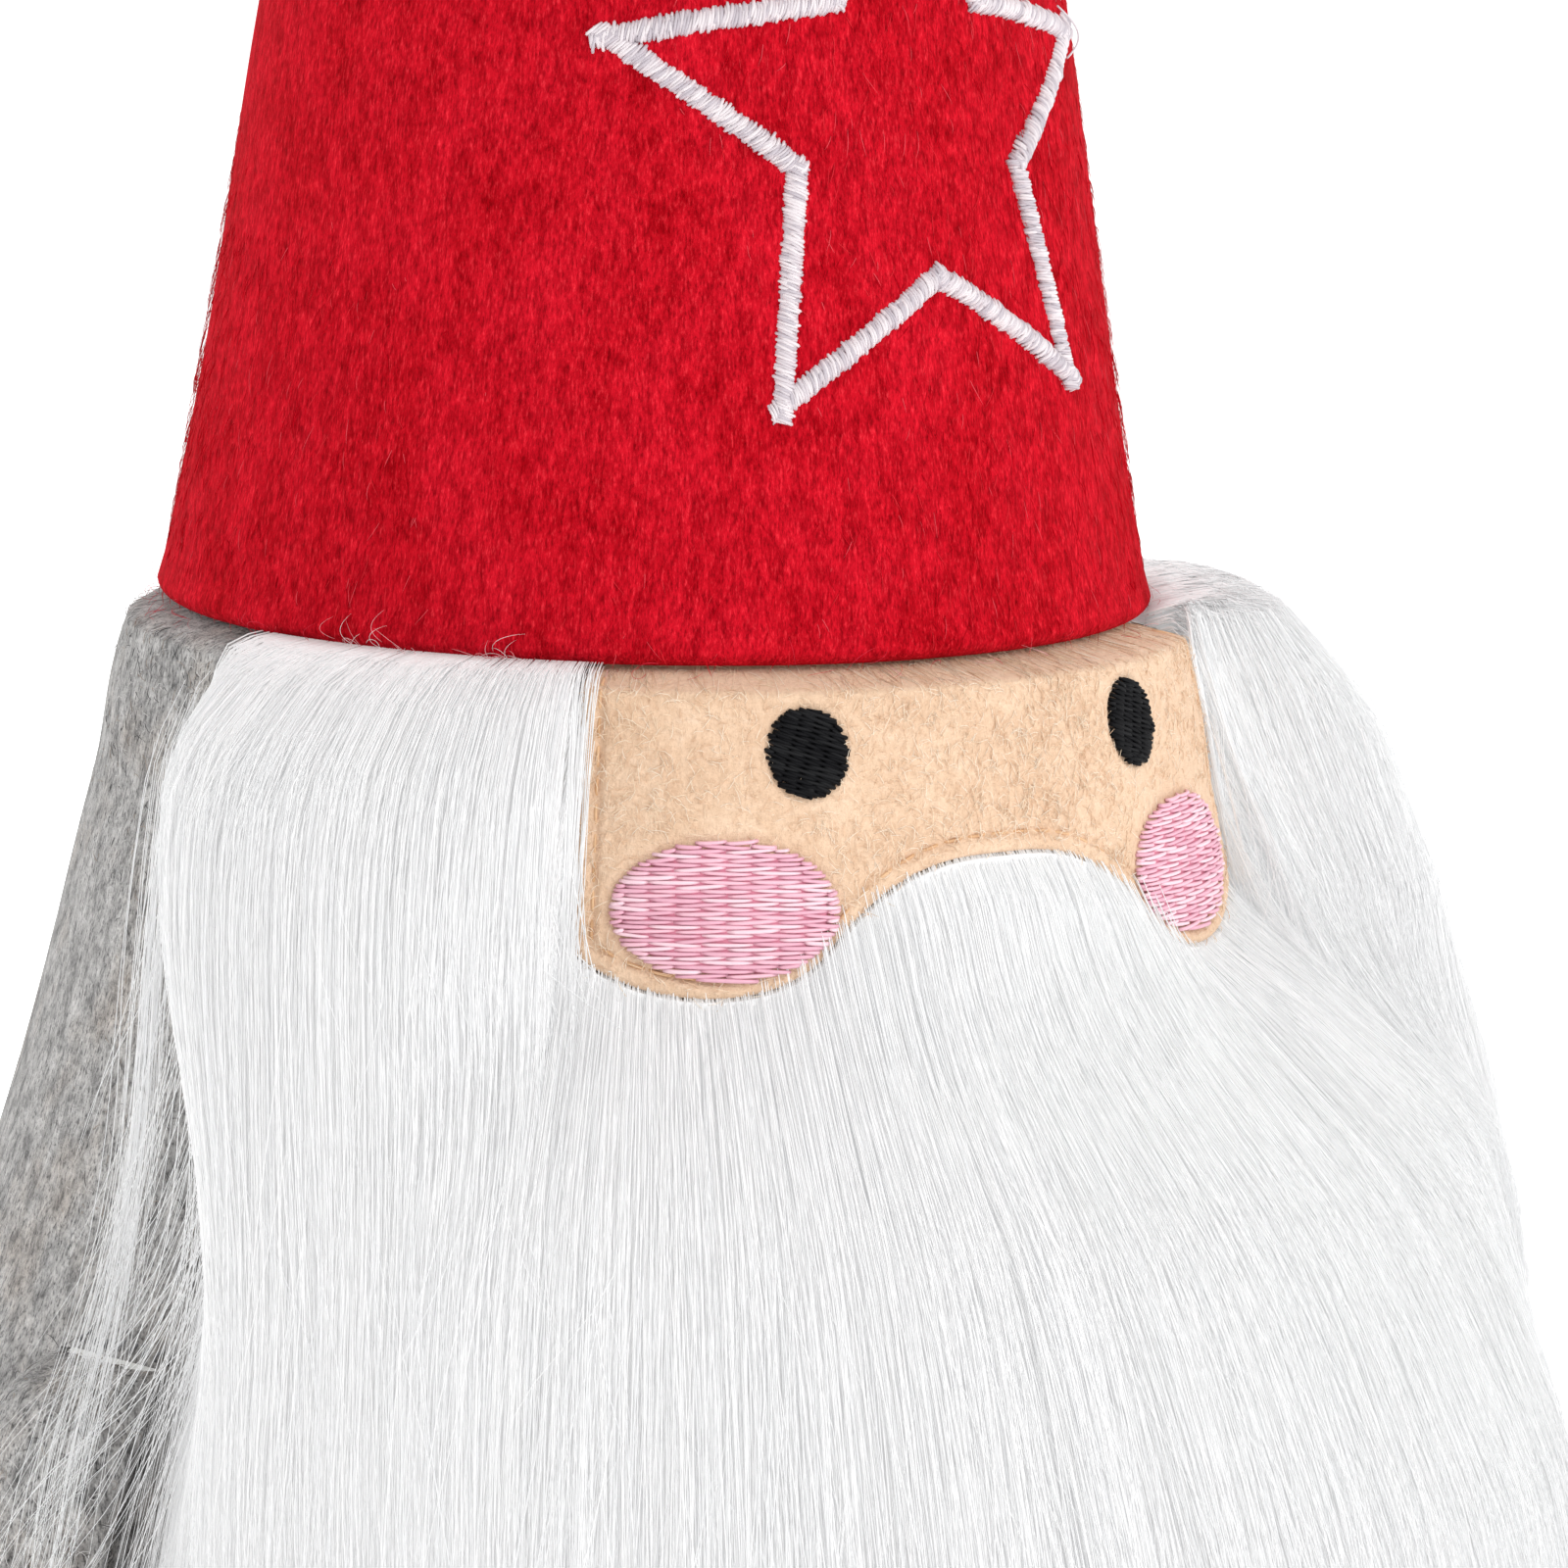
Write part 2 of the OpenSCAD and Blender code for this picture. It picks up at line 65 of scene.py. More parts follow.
# ---------------------------------------------------------------- camera, light and floor
CAMERA_AZ = -37.3 * DEG
CAMERA_UP = 9.1 * DEG
CAMERA_ROLL = 1.2 * DEG
CAMERA_AWAY = 0.85
FIELD_WIDTH = 162.4 * MM         # what the picture takes in, at the object's axis
AIM_BELOW_BRIM = 19.3 * MM
AIM_TO_RIGHT = 13.8 * MM
SENSOR = 36


def add_object(name, data):
    obj = bpy.data.objects.new(name, data)
    bpy.context.scene.collection.objects.link(obj)
    return obj


def direction(azimuth, up):
    return Vector((math.sin(azimuth) * math.cos(up), -math.cos(azimuth) * math.cos(up),
                   math.sin(up)))


def make_camera():
    """The main picture's camera, aimed below and to the right of the brim's middle."""
    back = direction(CAMERA_AZ, CAMERA_UP)
    right = Vector((math.cos(CAMERA_AZ), math.sin(CAMERA_AZ), 0))
    aim = Vector((0, 0, BRIM_Z - AIM_BELOW_BRIM)) + right * AIM_TO_RIGHT
    data = bpy.data.cameras.new("camera")
    data.sensor_width = SENSOR
    data.lens = SENSOR * CAMERA_AWAY / FIELD_WIDTH
    data.clip_start = 0.05
    data.clip_end = 50
    camera = add_object("camera", data)
    turn = (-back).to_track_quat("-Z", "Y").to_matrix().to_4x4()
    camera.matrix_world = (Matrix.Translation(aim + back * CAMERA_AWAY) @ turn
                           @ Matrix.Rotation(CAMERA_ROLL, 4, "Z"))
    bpy.context.scene.camera = camera


def area_light(name, azimuth, up, away, size, watts):
    """A square softbox aimed at the brim."""
    data = bpy.data.lights.new(name, "AREA")
    data.size = size
    data.energy = watts
    light = add_object(name, data)
    towards = direction(azimuth, up)
    light.location = Vector((0, 0, BRIM_Z)) + towards * away
    light.rotation_euler = (-towards).to_track_quat("-Z", "Y").to_euler()


def make_studio():
    """White surroundings and three softboxes."""
    world = bpy.data.worlds.new("studio")
    world.use_nodes = True
    background = world.node_tree.nodes["Background"]
    background.inputs["Color"].default_value = (1, 1, 1, 1)
    background.inputs["Strength"].default_value = 0.74
    bpy.context.scene.world = world
    area_light("key", 20 * DEG, 32 * DEG, 1.3, 0.9, 8.2)
    area_light("fill", -105 * DEG, 25 * DEG, 1.2, 0.9, 2.8)
    area_light("back", 150 * DEG, 45 * DEG, 1.2, 0.8, 4.0)
    bpy.context.scene.view_settings.view_transform = "Standard"


def make_floor():
    """A wide pale floor."""
    half = 4.0
    mesh = bpy.data.meshes.new("floor")
    corners = [(-half, -half, 0), (half, -half, 0), (half, half, 0), (-half, half, 0)]
    mesh.from_pydata(corners, [], [(0, 1, 2, 3)])
    floor = add_object("floor", mesh)
    material = plain_material("floor_white", (0.93, 0.93, 0.93), 0.9)
    glow(material, 0.55)
    mesh.materials.append(material)


# ---------------------------------------------------------------- number helpers
def polar(azimuth, radius, z):
    """Points from azimuth, radius and height; the last axis is x, y, z."""
    azimuth, radius, z = np.broadcast_arrays(azimuth, radius, z)
    return np.stack([radius * np.sin(azimuth), -radius * np.cos(azimuth), z], -1)


def outward(azimuth):
    """Level directions away from the axis."""
    return polar(azimuth, 1.0, 0.0)


def ease(t):
    t = np.clip(t, 0, 1)
    return t * t * (3 - 2 * t)


def unit(vectors):
    return vectors / np.maximum(np.linalg.norm(vectors, axis=-1, keepdims=True), 1e-12)


def lattice(cells, seed):
    """A fixed pseudo-random value from 0 to 1 for each integer cell."""
    mixed = (cells[..., 0] * 73856093) ^ (cells[..., 1] * 19349663) ^ (cells[..., 2] * 83492791)
    mixed = (mixed ^ (seed * 2654435761)) & 0xFFFFFFFF
    mixed = ((mixed ^ (mixed >> 15)) * 2246822519) & 0xFFFFFFFF
    mixed = ((mixed ^ (mixed >> 13)) * 3266489917) & 0xFFFFFFFF
    return (mixed ^ (mixed >> 16)) / 4294967295.0


def value_noise(points, size, seed=1, stretch=(1, 1, 1)):
    """Smooth noise from -1 to 1 with features of about size metres, at each point."""
    scaled = points / (size * np.array(stretch))
    low = np.floor(scaled).astype(np.int64)
    part = scaled - low
    part = part * part * (3 - 2 * part)
    total = np.zeros(points.shape[:-1])
    for corner in range(8):
        step = np.array([corner & 1, corner >> 1 & 1, corner >> 2 & 1])
        weight = np.prod(np.where(step == 1, part, 1 - part), -1)
        total += weight * lattice(low + step, seed)
    return 2 * total - 1


# ---------------------------------------------------------------- shapes read from the frame
READ_AZ = 1.1            # the azimuth at which round nodes are read


def node_tree_of(node):
    mesh = frame["nodes"][node].data
    return BVHTree.FromPolygons([v.co for v in mesh.vertices], [p.vertices for p in mesh.polygons])


def radius_seen(tree, azimuth, z):
    """Distance from the axis of a node's outermost surface, or None where there is none."""
    away = 0.4
    start = Vector((away * math.sin(azimuth), -away * math.cos(azimuth), z))
    hit = tree.ray_cast(start, Vector((-start.x, -start.y, 0)).normalized(), away)
    return None if hit[0] is None else math.hypot(hit[0].x, hit[0].y)


def profile_of(node, low, high, steps):
    """(height, radius) pairs of a round node, read at one azimuth away from its seam."""
    tree = node_tree_of(node)
    found = [(z, radius_seen(tree, READ_AZ, z)) for z in np.linspace(low, high, steps)]
    return np.array([(z, r) for z, r in found if r is not None])


BODY_PROFILE = profile_of("body_cover", 0.3 * MM, BODY_TOP_Z - 0.3 * MM, 420)
HAT_PROFILE = profile_of("hat_cover", BRIM_Z + 4 * MM, HAT_TOP_Z - 8 * MM, 60)
HAT_SLOPE = -np.polyfit(HAT_PROFILE[:, 0], HAT_PROFILE[:, 1], 1)[0]
HAT_APEX_Z = HAT_PROFILE[0, 0] + HAT_PROFILE[0, 1] / HAT_SLOPE
HAT_LEAN = math.atan(HAT_SLOPE)


def read_body(z):
    return np.interp(z, BODY_PROFILE[:, 0], BODY_PROFILE[:, 1])


FLARE_FROM = BRIM_Z - 10 * MM
FLARE = (read_body(FLARE_FROM - 10 * MM) - read_body(FLARE_FROM)) / (10 * MM)


def body_r(z):
    """The body's radius. The felt comes out of the brim seam almost at once, in line with the
    flare below it."""
    read = read_body(z)
    drop = BRIM_Z - z
    straight = read_body(FLARE_FROM) + FLARE * (FLARE_FROM - z) + 0.7 * MM
    near = ease((drop - 0.2 * MM) / (1.7 * MM)) * (1 - ease((drop - 8 * MM) / (10 * MM)))
    return read + near * np.maximum(straight - read, 0)


def hat_r(z):
    return HAT_SLOPE * (HAT_APEX_Z - z)


# The pile's outer radius over the beard, sampled from its CAD solid.
PILE_AZ = np.radians(np.arange(-93, 93.1, 1.5))
PILE_Z = np.arange(40 * MM, BRIM_Z - 0.7 * MM, 1.5 * MM)


def sample_pile():
    """The pile's depth over the body at each PILE_AZ and PILE_Z, smoothed a little."""
    tree = node_tree_of("beard_pile")
    thick = np.zeros((len(PILE_AZ), len(PILE_Z)))
    for i, azimuth in enumerate(PILE_AZ):
        for j, z in enumerate(PILE_Z):
            seen = radius_seen(tree, azimuth, z)
            thick[i, j] = max((seen or 0) - read_body(z), 2 * MM)
    for _ in range(3):
        padded = np.pad(thick, 1, mode="edge")
        thick = (padded[1:-1, 1:-1] * 4 + padded[:-2, 1:-1] + padded[2:, 1:-1]
                 + padded[1:-1, :-2] + padded[1:-1, 2:]) / 8
    return thick


PILE_THICK = sample_pile()


def pile_thickness(azimuth, z):
    """Bilinear reading of PILE_THICK."""
    i = np.clip((azimuth - PILE_AZ[0]) / (PILE_AZ[1] - PILE_AZ[0]), 0, len(PILE_AZ) - 1.001)
    j = np.clip((z - PILE_Z[0]) / (PILE_Z[1] - PILE_Z[0]), 0, len(PILE_Z) - 1.001)
    i0 = i.astype(int)
    j0 = j.astype(int)
    u = i - i0
    v = j - j0
    return (PILE_THICK[i0, j0] * (1 - u) * (1 - v) + PILE_THICK[i0 + 1, j0] * u * (1 - v)
            + PILE_THICK[i0, j0 + 1] * (1 - u) * v + PILE_THICK[i0 + 1, j0 + 1] * u * v)


# ---------------------------------------------------------------- meshes
def mesh_from_faces(name, points, quads, others=None):
    """A mesh object from arrays: quads is (n, 4), others is (m, k) for caps with k corners."""
    mesh = bpy.data.meshes.new(name)
    mesh.vertices.add(len(points))
    mesh.vertices.foreach_set("co", np.asarray(points, np.float32).ravel())
    corners = quads.ravel()
    starts = np.arange(len(quads)) * 4
    if others is not None and len(others):
        starts = np.concatenate([starts, len(corners) + np.arange(len(others)) * others.shape[1]])
        corners = np.concatenate([corners, others.ravel()])
    mesh.loops.add(len(corners))
    mesh.loops.foreach_set("vertex_index", corners.astype(np.int32))
    mesh.polygons.add(len(starts))
    mesh.polygons.foreach_set("loop_start", starts.astype(np.int32))
    mesh.update(calc_edges=True)
    mesh.shade_smooth()
    return add_object(name, mesh)


def grid_quads(rows, cols, wrap, flip=False, offset=0):
    row = np.arange(rows - 1)[:, None]
    col = np.arange(cols if wrap else cols - 1)[None, :]
    nxt = (col + 1) % cols
    quads = np.stack(np.broadcast_arrays(row * cols + col, row * cols + nxt,
                                         (row + 1) * cols + nxt, (row + 1) * cols + col), -1)
    quads = quads.reshape(-1, 4) + offset
    return quads[:, ::-1] if flip else quads


def revolved(name, grid):
    """A closed surface from rings, bottom to top; its first and last rings are closed flat."""
    rows, cols = grid.shape[:2]
    quads = grid_quads(rows, cols, True)
    low_cap = np.arange(cols)[::-1][None, :]
    high_cap = ((rows - 1) * cols + np.arange(cols))[None, :]
    return mesh_from_faces(name, grid.reshape(-1, 3), quads, np.concatenate([low_cap, high_cap]))


def sheet_solid(name, outer, inner):
    """A closed thin solid between two grids of the same shape, rows downwards."""
    rows, cols = outer.shape[:2]
    half = rows * cols
    rim = np.concatenate([np.arange(cols), np.arange(1, rows) * cols + cols - 1,
                          (rows - 1) * cols + np.arange(cols - 2, -1, -1),
                          np.arange(rows - 2, 0, -1) * cols])
    nxt = np.roll(rim, -1)
    wall = np.stack([rim, rim + half, nxt + half, nxt], -1)
    quads = np.concatenate([grid_quads(rows, cols, False, flip=True),
                            grid_quads(rows, cols, False, offset=half), wall[:, ::-1]])
    points = np.concatenate([outer.reshape(-1, 3), inner.reshape(-1, 3)])
    return mesh_from_faces(name, points, quads)


def tube_mesh(name, paths, radii, facing, sides, tint, materials):
    """Many thin closed tubes in one mesh. paths is (tubes, points, 3), radii (tubes, points),
    facing (tubes, 3) points away from the cloth, tint (tubes) picks each tube's material."""
    tubes, points = paths.shape[:2]
    along = unit(np.gradient(paths, axis=1))
    side = unit(np.cross(along, facing[:, None, :]))
    lift = np.cross(side, along)
    angle = 2 * math.pi * (np.arange(sides) + 0.25) / sides
    ring = np.cos(angle)[:, None] * side[:, :, None, :]
    ring = ring + np.sin(angle)[:, None] * lift[:, :, None, :]
    verts = paths[:, :, None, :] + radii[:, :, None, None] * ring
    first = np.arange(tubes)[:, None] * points * sides
    quads = grid_quads(points, sides, True)[None] + first[:, :, None]
    caps = np.concatenate([first + np.arange(sides)[::-1],
                           first + (points - 1) * sides + np.arange(sides)])
    obj = mesh_from_faces(name, verts.reshape(-1, 3), quads.reshape(-1, 4), caps)
    for material in materials:
        obj.data.materials.append(material)
    per_tube = (points - 1) * sides
    index = np.concatenate([np.repeat(tint, per_tube), tint, tint]).astype(np.int32)
    obj.data.polygons.foreach_set("material_index", index)
    return obj


SIM_SCALE = 10           # cloth simulation is steadier on something this much larger
SIM_FRAMES = 20


def evaluated_mesh(obj):
    graph = bpy.context.evaluated_depsgraph_get()
    graph.update()
    return bpy.data.meshes.new_from_object(obj.evaluated_get(graph), depsgraph=graph)


def coordinates(mesh):
    found = np.empty(len(mesh.vertices) * 3)
    mesh.vertices.foreach_get("co", found)
    return found.reshape(-1, 3)


def set_coordinates(mesh, points):
    mesh.vertices.foreach_set("co", points.ravel())
    mesh.update()


def swell(pad, voxel, cap):
    """Stuffs a closed pad: a cloth simulation under pressure, in which no point moves further
    than cap, then one subdivision. Returns the points and quads, and removes the pad."""
    set_coordinates(pad.data, coordinates(pad.data) * SIM_SCALE)
    remesh = pad.modifiers.new("remesh", "REMESH")
    remesh.mode = "VOXEL"
    remesh.voxel_size = voxel * SIM_SCALE
    pad.data = evaluated_mesh(pad)
    pad.modifiers.clear()
    rest = coordinates(pad.data)
    cloth = pad.modifiers.new("cloth", "CLOTH")
    cloth.settings.use_pressure = True
    cloth.settings.uniform_pressure_force = 4
    cloth.settings.effector_weights.gravity = 0
    for frame_number in range(1, SIM_FRAMES + 1):
        bpy.context.scene.frame_set(frame_number)
    move = coordinates(evaluated_mesh(pad)) - rest
    pad.modifiers.clear()
    bpy.context.scene.frame_set(1)
    far = np.linalg.norm(move, axis=1, keepdims=True)
    move = move * np.minimum(1, cap * SIM_SCALE / np.maximum(far, 1e-9))
    set_coordinates(pad.data, (rest + move) / SIM_SCALE)
    pad.modifiers.new("finer", "SUBSURF").levels = 1
    fine = evaluated_mesh(pad)
    quads = np.array([polygon.vertices for polygon in fine.polygons])
    points = coordinates(fine)
    bpy.data.objects.remove(pad)
    return points, quads


PIECE_TRIANGLES = 190_000


def strand_pieces(name, paths, radii, facing, tint, materials, sides=3):
    """The tubes in as many pieces as keep each one under PIECE_TRIANGLES."""
    each = PIECE_TRIANGLES // (2 * sides * (paths.shape[1] - 1) + 2 * sides)
    pieces = []
    for k, start in enumerate(range(0, len(paths), each)):
        part = slice(start, start + each)
        pieces.append(tube_mesh(f"{name}_{k + 1}", paths[part], radii[part], facing[part], sides,
                                tint[part], materials))
    return pieces


# ---------------------------------------------------------------- materials
def plain_material(name, colour, roughness, sheen=0.0, sheen_colour=(1, 1, 1), specular=0.3):
    """A material of one colour, which later nodes may vary."""
    material = bpy.data.materials.new(name)
    material.use_nodes = True
    material.diffuse_color = (*colour, 1)
    inputs = material.node_tree.nodes["Principled BSDF"].inputs
    for socket, value in (("Base Color", (*colour, 1)), ("Roughness", roughness),
                          ("Specular IOR Level", specular), ("Sheen Weight", sheen),
                          ("Sheen Roughness", 0.5), ("Sheen Tint", (*sheen_colour, 1))):
        inputs[socket].default_value = value
    return material


def noise_socket(tree, size, detail=3.0, stretch=(1, 1, 1), roughness=0.55):
    """Noise in the object's own space, with features of about size metres before stretching."""
    coords = tree.nodes.new("ShaderNodeTexCoord")
    mapping = tree.nodes.new("ShaderNodeMapping")
    mapping.inputs["Scale"].default_value = [1 / (size * s) for s in stretch]
    noise = tree.nodes.new("ShaderNodeTexNoise")
    noise.inputs["Scale"].default_value = 1.0
    noise.inputs["Detail"].default_value = detail
    noise.inputs["Roughness"].default_value = roughness
    tree.links.new(coords.outputs["Object"], mapping.inputs["Vector"])
    tree.links.new(mapping.outputs["Vector"], noise.inputs["Vector"])
    return noise.outputs["Fac"]


def ramp_socket(tree, value, stops):
    """Colours against a value; stops are (position, (r, g, b))."""
    ramp = tree.nodes.new("ShaderNodeValToRGB")
    elements = ramp.color_ramp.elements
    while len(elements) < len(stops):
        elements.new(0.5)
    for element, (position, colour) in zip(elements, stops):
        element.position = position
        element.color = (*colour, 1)
    tree.links.new(value, ramp.inputs["Fac"])
    return ramp.outputs["Color"]


def mix_socket(tree, factor, a, b, blend="MIX"):
    """factor is a socket or a number; a is a colour socket, b a colour socket or a colour."""
    node = tree.nodes.new("ShaderNodeMix")
    node.data_type = "RGBA"
    node.blend_type = blend
    if isinstance(factor, (int, float)):
        node.inputs[0].default_value = factor
    else:
        tree.links.new(factor, node.inputs[0])
    tree.links.new(a, node.inputs[6])
    if isinstance(b, tuple):
        node.inputs[7].default_value = (*b, 1)
    else:
        tree.links.new(b, node.inputs[7])
    return node.outputs[2]


def add_bump(material, heights, distance, strength=1.0):
    """Bump from the sum of (socket, weight) pairs."""
    tree = material.node_tree
    total = None
    for socket, weight in heights:
        part = tree.nodes.new("ShaderNodeMath")
        part.operation = "MULTIPLY_ADD"
        part.inputs[1].default_value = weight
        tree.links.new(socket, part.inputs[0])
        if total is None:
            part.inputs[2].default_value = 0.0
        else:
            tree.links.new(total, part.inputs[2])
        total = part.outputs[0]
    bump = tree.nodes.new("ShaderNodeBump")
    bump.inputs["Distance"].default_value = distance
    bump.inputs["Strength"].default_value = strength
    tree.links.new(total, bump.inputs["Height"])
    shader = tree.nodes["Principled BSDF"]
    tree.links.new(bump.outputs["Normal"], shader.inputs["Normal"])


def set_colour(material, socket):
    shader = material.node_tree.nodes["Principled BSDF"]
    material.node_tree.links.new(socket, shader.inputs["Base Color"])


def fleece_material():
    """Red brushed fleece: short streaks of nap that run down the hat, over darker mottling."""
    material = plain_material("red_fleece", (0.55, 0.006, 0.016), 0.95, 0.04, (1.0, 0.15, 0.15), 0.03)
    tree = material.node_tree
    zones = noise_socket(tree, 8 * MM, 4, (1, 1, 1.5))
    clumps = noise_socket(tree, 1.3 * MM, 4, (1, 1, 2.2), 0.7)
    streaks = noise_socket(tree, 0.26 * MM, 3, (1, 1, 5), 0.75)
    base = ramp_socket(tree, zones, [(0.35, (0.43, 0.0006, 0.006)), (0.64, (0.62, 0.006, 0.020))])
    tufts = ramp_socket(tree, clumps, [(0.36, (0.27, 0.0004, 0.004)), (0.60, (0.74, 0.010, 0.026))])
    mixed = mix_socket(tree, 0.5, base, tufts)
    shine = ramp_socket(tree, streaks, [(0.34, (0.30, 0.2, 0.2)), (0.50, (0.84, 0.8, 0.8)),
                                        (0.70, (1.0, 1.0, 1.0))])
    mixed = mix_socket(tree, 0.75, mixed, shine, "MULTIPLY")
    light = ramp_socket(tree, streaks, [(0.55, (0, 0, 0)), (0.78, (0.24, 0.03, 0.036))])
    set_colour(material, mix_socket(tree, 1.0, mixed, light, "ADD"))
    add_bump(material, [(streaks, 0.5), (clumps, 0.8), (zones, 0.4)], 0.4 * MM, 0.7)
    return material


def grey_felt_material():
    """Grey wool felt: pale and dark fibres matted together, a little brown in places."""
    material = plain_material("grey_felt", (0.32, 0.32, 0.32), 0.95, 0.25, (0.9, 0.9, 0.9), 0.15)
    tree = material.node_tree
    blots = noise_socket(tree, 2.4 * MM, 5, (1, 1, 1.7), 0.7)
    fibres = noise_socket(tree, 0.34 * MM, 3, (1, 1, 3.0), 0.75)
    cross = noise_socket(tree, 0.4 * MM, 3, (3.0, 3.0, 1), 0.7)
    tan = noise_socket(tree, 9 * MM, 3)
    tone = [(0.30, 0.15), (0.43, 0.40), (0.52, 0.56), (0.68, 0.75)]
    base = ramp_socket(tree, blots, [(p, (v, v * 0.975, v * 0.955)) for p, v in tone])
    strokes = ramp_socket(tree, fibres, [(0.34, (0.10, 0.10, 0.10)), (0.48, (0.76, 0.76, 0.76)),
                                         (0.62, (1.0, 1.0, 1.0))])
    base = mix_socket(tree, 0.95, base, strokes, "MULTIPLY")
    pale = ramp_socket(tree, cross, [(0.56, (0, 0, 0)), (0.78, (0.16, 0.16, 0.16))])
    base = mix_socket(tree, 1.0, base, pale, "ADD")
    brown = ramp_socket(tree, tan, [(0.5, (0, 0, 0)), (0.72, (1, 1, 1))])
    warm = mix_socket(tree, 0.45, base, (0.84, 0.70, 0.58), "MULTIPLY")
    set_colour(material, mix_socket(tree, brown, base, warm))
    add_bump(material, [(blots, 1.2), (fibres, 0.6), (cross, 0.5)], 0.8 * MM, 0.9)
    return material


def face_felt_material():
    """Peach felt with fine matted fibres."""
    material = plain_material("face_felt", (0.94, 0.69, 0.44), 0.92, 0.2, (1, 0.9, 0.8), 0.15)
    tree = material.node_tree
    fibres = noise_socket(tree, 0.5 * MM, 4, (1.2, 1.2, 2.0), 0.7)
    cross = noise_socket(tree, 0.6 * MM, 3, (3.2, 3.2, 1), 0.7)
    patches = noise_socket(tree, 7 * MM, 3)
    base = ramp_socket(tree, patches, [(0.35, (0.78, 0.545, 0.375)), (0.65, (0.84, 0.61, 0.435))])
    strokes = ramp_socket(tree, fibres, [(0.3, (0.76, 0.70, 0.64)), (0.58, (1, 1, 1))])
    base = mix_socket(tree, 0.65, base, strokes, "MULTIPLY")
    pale = ramp_socket(tree, cross, [(0.55, (0, 0, 0)), (0.8, (0.05, 0.07, 0.08))])
    set_colour(material, mix_socket(tree, 1.0, base, pale, "ADD"))
    add_bump(material, [(fibres, 1.0), (cross, 0.8), (patches, 0.4)], 0.4 * MM, 0.9)
    return material


def knit_material():
    """The knitted cloth under the pile: fine rows of loops."""
    material = plain_material("beard_backing", (0.82, 0.82, 0.8), 0.9, 0.1)
    tree = material.node_tree
    rows = tree.nodes.new("ShaderNodeTexWave")
    rows.bands_direction = "Z"
    rows.inputs["Scale"].default_value = 330
    rows.inputs["Distortion"].default_value = 1.5
    coords = tree.nodes.new("ShaderNodeTexCoord")
    tree.links.new(coords.outputs["Object"], rows.inputs["Vector"])
    set_colour(material, ramp_socket(tree, rows.outputs["Fac"], [(0, (0.66, 0.66, 0.64)),
                                                                 (1, (0.86, 0.86, 0.84))]))
    add_bump(material, [(rows.outputs["Fac"], 1.0)], 0.2 * MM)
    return material


def undercoat_material():
    """The dense part of the pile, seen between the locks: pale streaks that run downwards over
    lock-sized zones of painted shade, with a little painted glow.
    """
    material = plain_material("beard_undercoat", (0.8, 0.8, 0.8), 0.8, 0.3)
    tree = material.node_tree
    streaks = noise_socket(tree, 0.7 * MM, 3, (1, 1, 22), 0.65)
    locks = noise_socket(tree, 3.5 * MM, 3, (1, 1, 12))
    # the darker, slightly bluish grey of the lock-sized zones is painted shade between the locks
    base = ramp_socket(tree, locks, [(0.35, (0.72, 0.725, 0.735)), (0.62, (0.80, 0.80, 0.80))])
    fine = ramp_socket(tree, streaks, [(0.3, (0.84, 0.84, 0.84)), (0.6, (1, 1, 1))])
    set_colour(material, mix_socket(tree, 0.7, base, fine, "MULTIPLY"))
    add_bump(material, [(streaks, 0.6), (locks, 0.8)], 0.5 * MM, 0.6)
    # painted glow: a little emission that lightens the shade in the pile
    glow(material, 0.15)
    return material


def hidden_material(name, colour, size, dark=0.75, roughness=0.9):
    """A simple mottled material for pieces inside the object."""
    material = plain_material(name, colour, roughness)
    tree = material.node_tree
    grain = noise_socket(tree, size, 4)
    low = tuple(c * dark for c in colour)
    set_colour(material, ramp_socket(tree, grain, [(0.35, low), (0.65, colour)]))
    add_bump(material, [(grain, 1.0)], size * 0.3)
    return material


# Shades of one thread or one kind of fibre.
STAR_TINTS = [(0.63, 0.57, 0.60), (0.51, 0.46, 0.50), (0.74, 0.68, 0.70)]
EYE_TINTS = [(0.004, 0.004, 0.005), (0.010, 0.010, 0.011), (0.002, 0.002, 0.003)]
CHEEK_TINTS = [(0.85, 0.50, 0.59), (0.90, 0.63, 0.70), (0.78, 0.42, 0.52)]
FLEECE_TINTS = [(0.56, 0.004, 0.014), (0.40, 0.001, 0.007), (0.66, 0.028, 0.04),
                (0.58, 0.008, 0.018), (0.72, 0.08, 0.10)]
FELT_TINTS = [(0.06, 0.058, 0.058), (0.30, 0.29, 0.285), (0.68, 0.66, 0.65),
              (0.03, 0.03, 0.032), (0.36, 0.30, 0.25)]
FACE_TINTS = [(0.88, 0.71, 0.53), (0.78, 0.54, 0.36), (0.92, 0.80, 0.66)]
WISP_TINTS = [(0.93, 0.90, 0.90), (0.86, 0.45, 0.47), (0.62, 0.02, 0.05)]


def tints(name, colours, roughness, sheen=0.0, specular=0.3):
    """Materials of one thread or fibre in slightly different shades."""
    return [plain_material(f"{name}_{i + 1}", c, roughness, sheen, c, specular)
            for i, c in enumerate(colours)]


def fur_tints():
    """White hair. The little emission is painted glow that lightens the shade between the strands; it
    stands for the light that white pile passes on inside.
    """
    found = tints("fur_hair", [(0.80, 0.80, 0.805), (0.765, 0.77, 0.775), (0.83, 0.83, 0.83),
                               (0.74, 0.745, 0.755)], 0.6, 0.15, 0.2)
    for material in found:
        glow(material, 0.18)
    return found


def glow(material, strength):
    shader = material.node_tree.nodes["Principled BSDF"]
    shader.inputs["Emission Color"].default_value = (1, 1, 1, 1)
    shader.inputs["Emission Strength"].default_value = strength
    material.cycles.emission_sampling = "NONE"


# ---------------------------------------------------------------- hat
HEM_R = 1.7 * MM
TIP_R = 4 * MM


